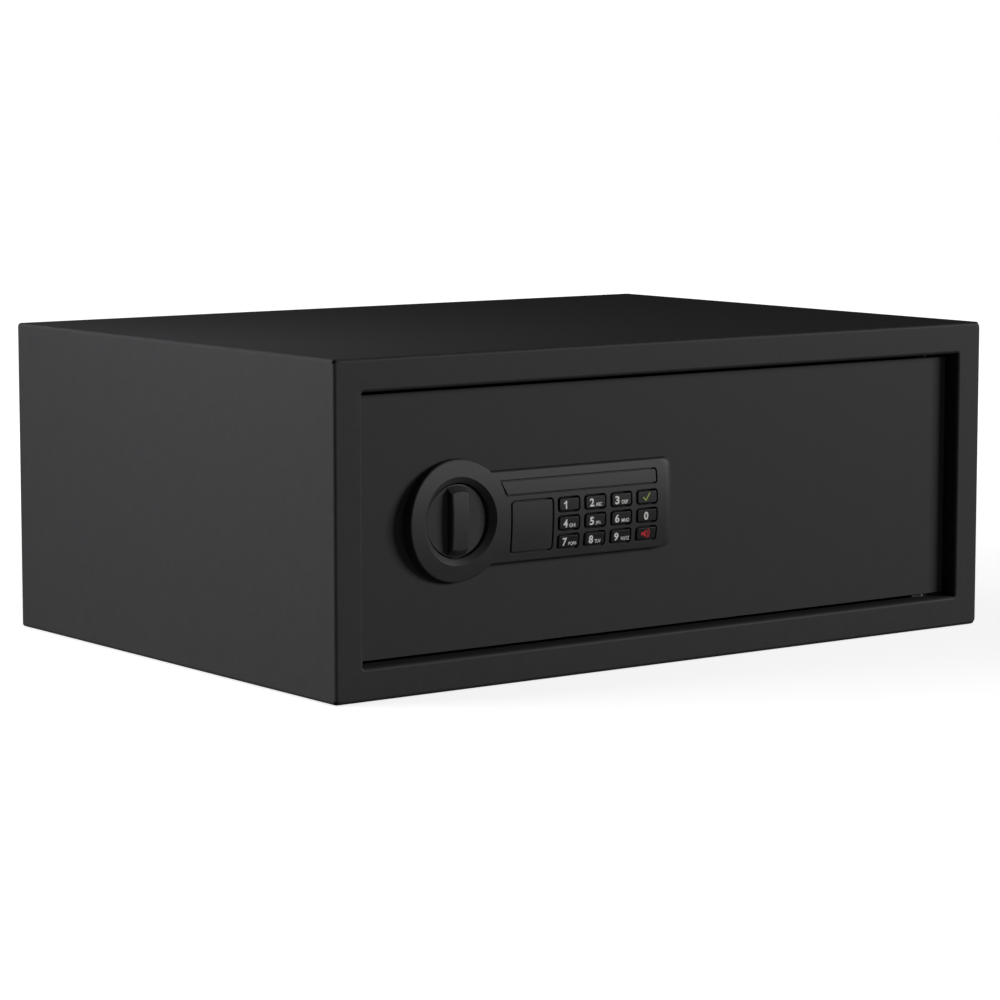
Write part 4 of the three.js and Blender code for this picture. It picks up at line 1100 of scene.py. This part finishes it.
def makeKnob():
    discFace = foot - knob["discThick"]
    start = foot - knob["discThick"] / 2
    rise, blank, fillet = discFace - face, knob["blankHalf"], knob["fillet"]
    widest, longest = knob["footHalf"] + fillet, knob["endAtFoot"] + fillet
    bar = uprightFace("grip", lockX - 1, lockX + 1, lockZ - blank, lockZ + blank, start)
    startEdit(bar, "SELECT")
    sides = [(start, widest), (discFace, widest)]
    ends = [(longest, start), (longest, discFace)]
    for part in (0.1, 0.3, 0.6, 1):  # the fillet where the bar meets the disc
        away = fillet * (1 - math.sqrt(1 - (1 - part) ** 2))
        height = part * fillet
        share = height / rise
        sides.append((discFace - height, knob["footHalf"] - knob["sideLean"] * share + away))
        length = knob["endAtFoot"] + (knob["endAtFace"] - knob["endAtFoot"]) * share + away
        ends.append((length, discFace - height))
    for inset, depth in quarter(knob["sideEdge"], 6):  # the long edges roll to the face
        sides.append((face + depth, knob["faceHalf"] + knob["sideEdge"] - inset))
    for inset, depth in quarter(knob["endEdge"], 4):
        ends.append((knob["endAtFace"] - inset + depth * knob["endEdgeLean"], face + depth))
    bpy.ops.transform.resize(value=(widest, 1, 1), center_override=Vector((lockX, start, lockZ)) * mm)
    growOut([(y, [half / widest, 1, 1]) for y, half in sides], lockAxis, "y")
    closeUp(bar)
    cutBy(bar, turnedPiece("gripEnds", "y", lockAxis, ends, 128), "INTERSECT")
    disc = turnedPiece("disc", "y", lockAxis, [
        (knob["disc"], foot),
        (knob["disc"], discFace + knob["discEdge"]),
        (knob["disc"] - knob["discEdgeMiddle"], discFace + knob["discEdgeMiddle"]),
        (knob["disc"] - knob["discEdge"], discFace),
    ], 128)
    cutBy(disc, bar, "UNION")
    drill(disc, "y", lockAxis, knob["socket"], foot - knob["socketDepth"], foot + 1)
    disc.name = "knobWithGrip"
    bowed(disc, discFace, 0)
    return stand(disc, "knob", housingAbs, 30)


makeKnob()
print("knob done")


# Behind the housing and the door

screw = {
    "shank": 1.3,
    "tip": (0.65, 0.7),  # radius at the end, and length of the taper
    "head": 2.7,
    "headHeight": 1.7,
    "headEdge": 0.15,
    "crown": ((1, -0.9), (0.92, -0.45), (0.72, -0.12), (0.45, 0)),  # shares of the head's radius, going up
    "recess": (3.4, 0.7, 1),  # length, width and depth of the cross
}


def makeScrew(length):
    # A pan-head screw with a cross recess; the top of its head is at the origin and its shank points to the front
    head, shank, under = screw["head"], screw["shank"], -screw["headHeight"]
    point, taper = screw["tip"]
    pan = turnedPiece("screw", "y", (0, 0, 0), [
        (point, -length),
        (shank, taper - length),
        (shank, under),
        (head - screw["headEdge"], under),
        (head, under + screw["headEdge"]),
    ] + [(head * share, up) for share, up in screw["crown"]], 32)
    long, wide, deep = screw["recess"]
    for across, up in ((long / 2, wide / 2), (wide / 2, long / 2)):
        cutBy(pan, block("recess", (-across, -deep, -up), (across, 1, up)))
    return pan


def placeScrews(length, nodes):
    pan = makeScrew(length)
    for node in nodes:
        low, high = boxOf(node)
        x, _, z = axisOf(low, high, "y")
        stand(copyAt(pan, node.replace("_", "") + "Pan", (x, high.y, z)), node, zinc)
    bpy.data.objects.remove(pan)


placeScrews(6.8, ["cover_screw_1", "cover_screw_2", "cover_screw_3", "cover_screw_4"])
placeScrews(9.3, ["housing_screw_1", "housing_screw_2"])
placeScrews(5, ["crank_screw"])
broken("keypad_mat", "keypadMat", silicone, 0.15)
broken("keypad_board", "keypadBoard", board, 0.1)
broken("cylinder_nut", "cylinderNut", zinc, 0.35)
broken("override_plug", "overridePlug", brass, 0.15)
broken("override_cam", "overrideCam", zinc, 0.3)
broken("spindle_bush", "spindleBush", nylon, 0.25)
broken("spindle_clip", "spindleClip", zinc, 0.15)
broken("crank", "crankArm", zinc, 0.35)
broken("bolt_carriage", "boltCarriage", zinc, 0.35)
broken("carriage_stop", "carriageStop", zinc, 0.35)
broken("bolt_guide", "boltGuide", zinc, 0.35)
broken("solenoid_frame", "solenoidFrame", zinc, 0.3)
broken("inner_cover", "innerCover", innerCoat, 0.8)
broken("battery_tray", "batteryTray", blackAbs, 0.35)
print("pressed parts done")


barrel = {"chamfer": 0.3, "plain": 4, "thread": 0.35, "pitch": 1, "runOut": 1.2, "rearChamfer": 0.4, "bore": 6.12}


def makeCylinder():  # a threaded barrel, drawn with its crests a millimetre apart
    low, high = boxOf("override_cylinder")
    radius = (high.x - low.x) / 2
    centre = axisOf(low, high, "y")
    y = low.y + barrel["plain"]
    steps = [(radius - barrel["chamfer"], low.y), (radius, low.y + barrel["chamfer"]), (radius, y)]
    while y < high.y - barrel["runOut"]:
        steps += [(radius - barrel["thread"], y + barrel["pitch"] / 2), (radius, y + barrel["pitch"])]
        y += barrel["pitch"]
    steps.append((radius - barrel["rearChamfer"], high.y))
    cylinder = turnedPiece("overrideCylinder", "y", centre, steps, 48)
    drill(cylinder, "y", centre, barrel["bore"], low.y - 1, high.y + 1, 32)
    return stand(cylinder, "override_cylinder", brass)


spindle = {  # a little thinner than its bush, so that it runs free
    "start": [(3.6, 0), (3.93, 0.35)],
    "end": [(3.93, 0.35), (3.6, 0)],
    "bore": (1.6, 3.3, 24),
}
bolt = {"point": [(1, 0), (0.12, 0.88), (0, 1.2)], "tenon": 4, "tenonLength": 5, "edge": 0.4, "tenonEdge": 0.5}
stud = {
    "start": [(3.3, 0), (3.6, 0.3)],
    "end": [(3.6, 5.4), (3.3, 5.1), (2.5, 5.1), (2.5, 2), (4.7, 2), (5, 1.7), (5, 0.6), (4.2, 0)],
}
coil = {
    "start": [(8, 0), (8, 0.8), (7.5, 0.8)],
    "end": [(7.5, 0.8), (8, 0.8), (8, 0)],
    "bore": (3.3, None, 32),
}
plunger = {
    "start": [(2.6, 0), (3, 0.4)],
    "end": [(3, 4), (2.5, 3.8), (2.5, 2.8), (3, 2.6), (3, 0.6), (2.4, 0)],
}
cell = {
    "start": [(6.6, 0), (7.1, 0.5)],
    "end": [(7.1, 2.1), (6.9, 1.7), (6.3, 1.5), (2.7, 1.5), (2.7, 0.3), (2.4, 0)],
}
button = {
    "start": [(4.3, 0), (4.5, 0.2), (4.5, 0.6), (4.3, 0.8), (3, 0.8)],
    "end": [(3, 0.5), (2.85, 0.2), (2.4, 0)],
}
lid = {
    "hollow": 12,  # the finger hollow's middle, below the lid's top
    "ribs": (-2.4, 0, 2.4),
    "ribHalf": (3.6, 0.4),
    "ribDepth": (1.1, 0.25),
    "ribCorner": 0.25,
    "edge": 0.15,
}


def makeBolt(end):
    # A live bolt: a chamfered bar with a tenon that is riveted through the carriage
    low, high = boxOf("bolt_" + end)
    radius = (high.z - low.z) / 2
    tenon, shoulder = bolt["tenon"], bolt["tenonLength"]
    turnedFor("bolt_" + end, end + "Bolt", "x", boltSteel, {
        "start": [(radius - inset, inwards) for inset, inwards in bolt["point"]],
        "end": [
            (radius, shoulder + bolt["edge"]), (radius - bolt["edge"], shoulder), (tenon, shoulder),
            (tenon, bolt["tenonEdge"]), (tenon - bolt["tenonEdge"], 0),
        ],
    }, 96)


def makeCell(number):
    # The cells lie turned end for end, so the nub is up on every other one
    shape = cell if number % 2 else {"start": cell["end"][::-1], "end": cell["start"][::-1]}
    turnedFor("battery_cell_" + str(number), "batteryCell" + str(number), "z", jacket, shape)


def makeLid():
    # The lid slides out by a round finger hollow, which has three ribs for grip
    low, high = boxOf("battery_lid")
    piece = mergedCopy("battery_lid", "batteryLid")
    x, z = (low.x + high.x) / 2, high.z - lid["hollow"]
    across, up = lid["ribHalf"]
    front, rear = [high.y - depth for depth in lid["ribDepth"]]
    for rise in lid["ribs"]:
        low, high = (x - across, front, z + rise - up), (x + across, rear, z + rise + up)
        rib = roundedBlock("rib", low, high, lid["ribCorner"], 3)
        cutBy(piece, rib, "UNION")
    soften(piece, lid["edge"])
    return stand(piece, "battery_lid", blackAbs)


makeCylinder()
turnedFor("spindle", "spindleRod", "y", zinc, spindle)
for end in ("upper", "lower"):
    makeBolt(end)
    turnedFor("carriage_stud_" + end, end + "CarriageStud", "y", zinc, stud)
turnedFor("solenoid_coil", "solenoidCoil", "z", winding, coil)
turnedFor("solenoid_plunger", "solenoidPlunger", "z", zinc, plunger, 32)
for number in (1, 2, 3, 4):
    makeCell(number)
makeLid()
turnedFor("reset_button", "resetButton", "y", redAbs, button)
print("mechanism done")

# Camera and studio

photoView = {
    "azimuth": -36.751,  # degrees
    "elevation": 6.969,
    "aim": (0, 0, 90),
    "toLeft": 0.404,
    "down": 15.117,
    "distance": 2073.925,
    "sensor": 36,
    "lens": 126.358,
    "clipStart": 50,
}


def makeCamera():
    bpy.ops.object.camera_add()
    camera = bpy.context.object
    camera.name = "photoCamera"
    azimuth, elevation = math.radians(photoView["azimuth"]), math.radians(photoView["elevation"])
    camera.rotation_euler = (math.pi / 2 - elevation, 0, azimuth)
    level = math.cos(elevation)
    back = Vector((math.sin(azimuth) * level, -math.cos(azimuth) * level, math.sin(elevation)))
    right = Vector((math.cos(azimuth), math.sin(azimuth), 0))
    camera.location = (
        Vector(photoView["aim"]) - right * photoView["toLeft"] - back.cross(right) * photoView["down"]
        + back * photoView["distance"]
    ) * mm
    camera.data.sensor_width = photoView["sensor"]
    camera.data.lens = photoView["lens"]
    camera.data.clip_start = photoView["clipStart"] * mm
    bpy.context.scene.camera = camera


makeCamera()

studio = {
    "world": 0.007,  # grey light from everywhere
    "floorGlow": (0.75, 1.05),  # near the safe and far off; only the camera sees it, so it lights nothing
    "glowReach": (0.3, 1.2),  # metres
    "floor": "#e9e9e9",
    "floorBounce": "#8a8a8a",  # what the floor throws back on the safe, as a grey cloth would
}


def areaLight(name, azimuthDegrees, elevationDegrees, distance, size, watts):
    # A soft box aimed at the middle of the safe; azimuth 0 is the front (-Y), 90 the right side (+X)
    turn, rise = math.radians(azimuthDegrees), math.radians(elevationDegrees)
    way = Vector((math.sin(turn) * math.cos(rise), -math.cos(turn) * math.cos(rise), math.sin(rise)))
    bpy.ops.object.light_add(type="AREA", location=way * distance + Vector((0, 0, 0.09)))
    lamp = bpy.context.object
    lamp.name = name
    lamp.data.shape = "RECTANGLE"
    lamp.data.size, lamp.data.size_y = size
    lamp.data.energy = watts
    lamp.rotation_euler = way.to_track_quat("Z", "Y").to_euler()
    return lamp


def makeWorld():
    world = bpy.data.worlds.new("studioWorld")
    bpy.context.scene.world = world
    world.use_nodes = True
    tree = world.node_tree
    tree.nodes.clear()
    seen = addNode(tree, "LightPath")
    straight = addNode(
        tree, "Math", {"operation": "MAXIMUM"},
        {0: seen.outputs["Is Camera Ray"], 1: seen.outputs["Is Transmission Ray"]},
    )
    plain = addNode(tree, "Background", {"Color": (1, 1, 1, 1), "Strength": studio["world"]})
    white = addNode(tree, "Background", {"Color": (1, 1, 1, 1), "Strength": 1})
    both = addNode(
        tree, "MixShader", {},
        {0: straight.outputs["Value"], 1: plain.outputs["Background"], 2: white.outputs["Background"]},
    )
    addNode(tree, "OutputWorld", {}, {"Surface": both.outputs["Shader"]})


def makeFloor():
    bpy.ops.mesh.primitive_plane_add(size=8, location=(0, 0, -0.0005))
    floor = fixPlace(bpy.context.object, "studioFloor")
    material, tree, place = startMaterial("paleFloor")
    seen = addNode(tree, "LightPath")
    matt = addNode(tree, "BsdfDiffuse", {"Color": linear(studio["floor"])})
    away = addNode(tree, "VectorMath", {"operation": "LENGTH"}, {0: place})
    (near, far), (dim, bright) = studio["glowReach"], studio["floorGlow"]
    level = addNode(
        tree, "MapRange", {"From Min": near, "From Max": far, "To Min": dim, "To Max": bright},
        {"Value": away.outputs["Value"]},
    )
    glow = addNode(tree, "Emission", {}, {"Strength": level.outputs["Result"]})
    bounce = addNode(tree, "BsdfDiffuse", {"Color": linear(studio["floorBounce"])})
    lit = addNode(tree, "AddShader", {}, {0: matt.outputs["BSDF"], 1: glow.outputs["Emission"]})
    mix = addNode(
        tree, "MixShader", {},
        {0: seen.outputs["Is Camera Ray"], 1: bounce.outputs["BSDF"], 2: lit.outputs["Shader"]},
    )
    addNode(tree, "OutputMaterial", {}, {"Surface": mix.outputs["Shader"]})
    floor.data.materials.append(material)
    return floor


makeWorld()
makeFloor()
areaLight("leftLight", 250, 3, 1.8, (0.9, 0.8), 26.5)
areaLight("keyLight", 50, 14, 6, (2.2, 1.4), 200)
areaLight("fillLight", 0, 20, 4, (2, 1.2), 8)
areaLight("rearLight", 190, 15, 1.4, (0.5, 0.4), 2.4)
areaLight("topLight", 270, 48, 0.45, (0.25, 0.25), 0.55)
bpy.context.scene.view_settings.view_transform = "Standard"
print("studio done")
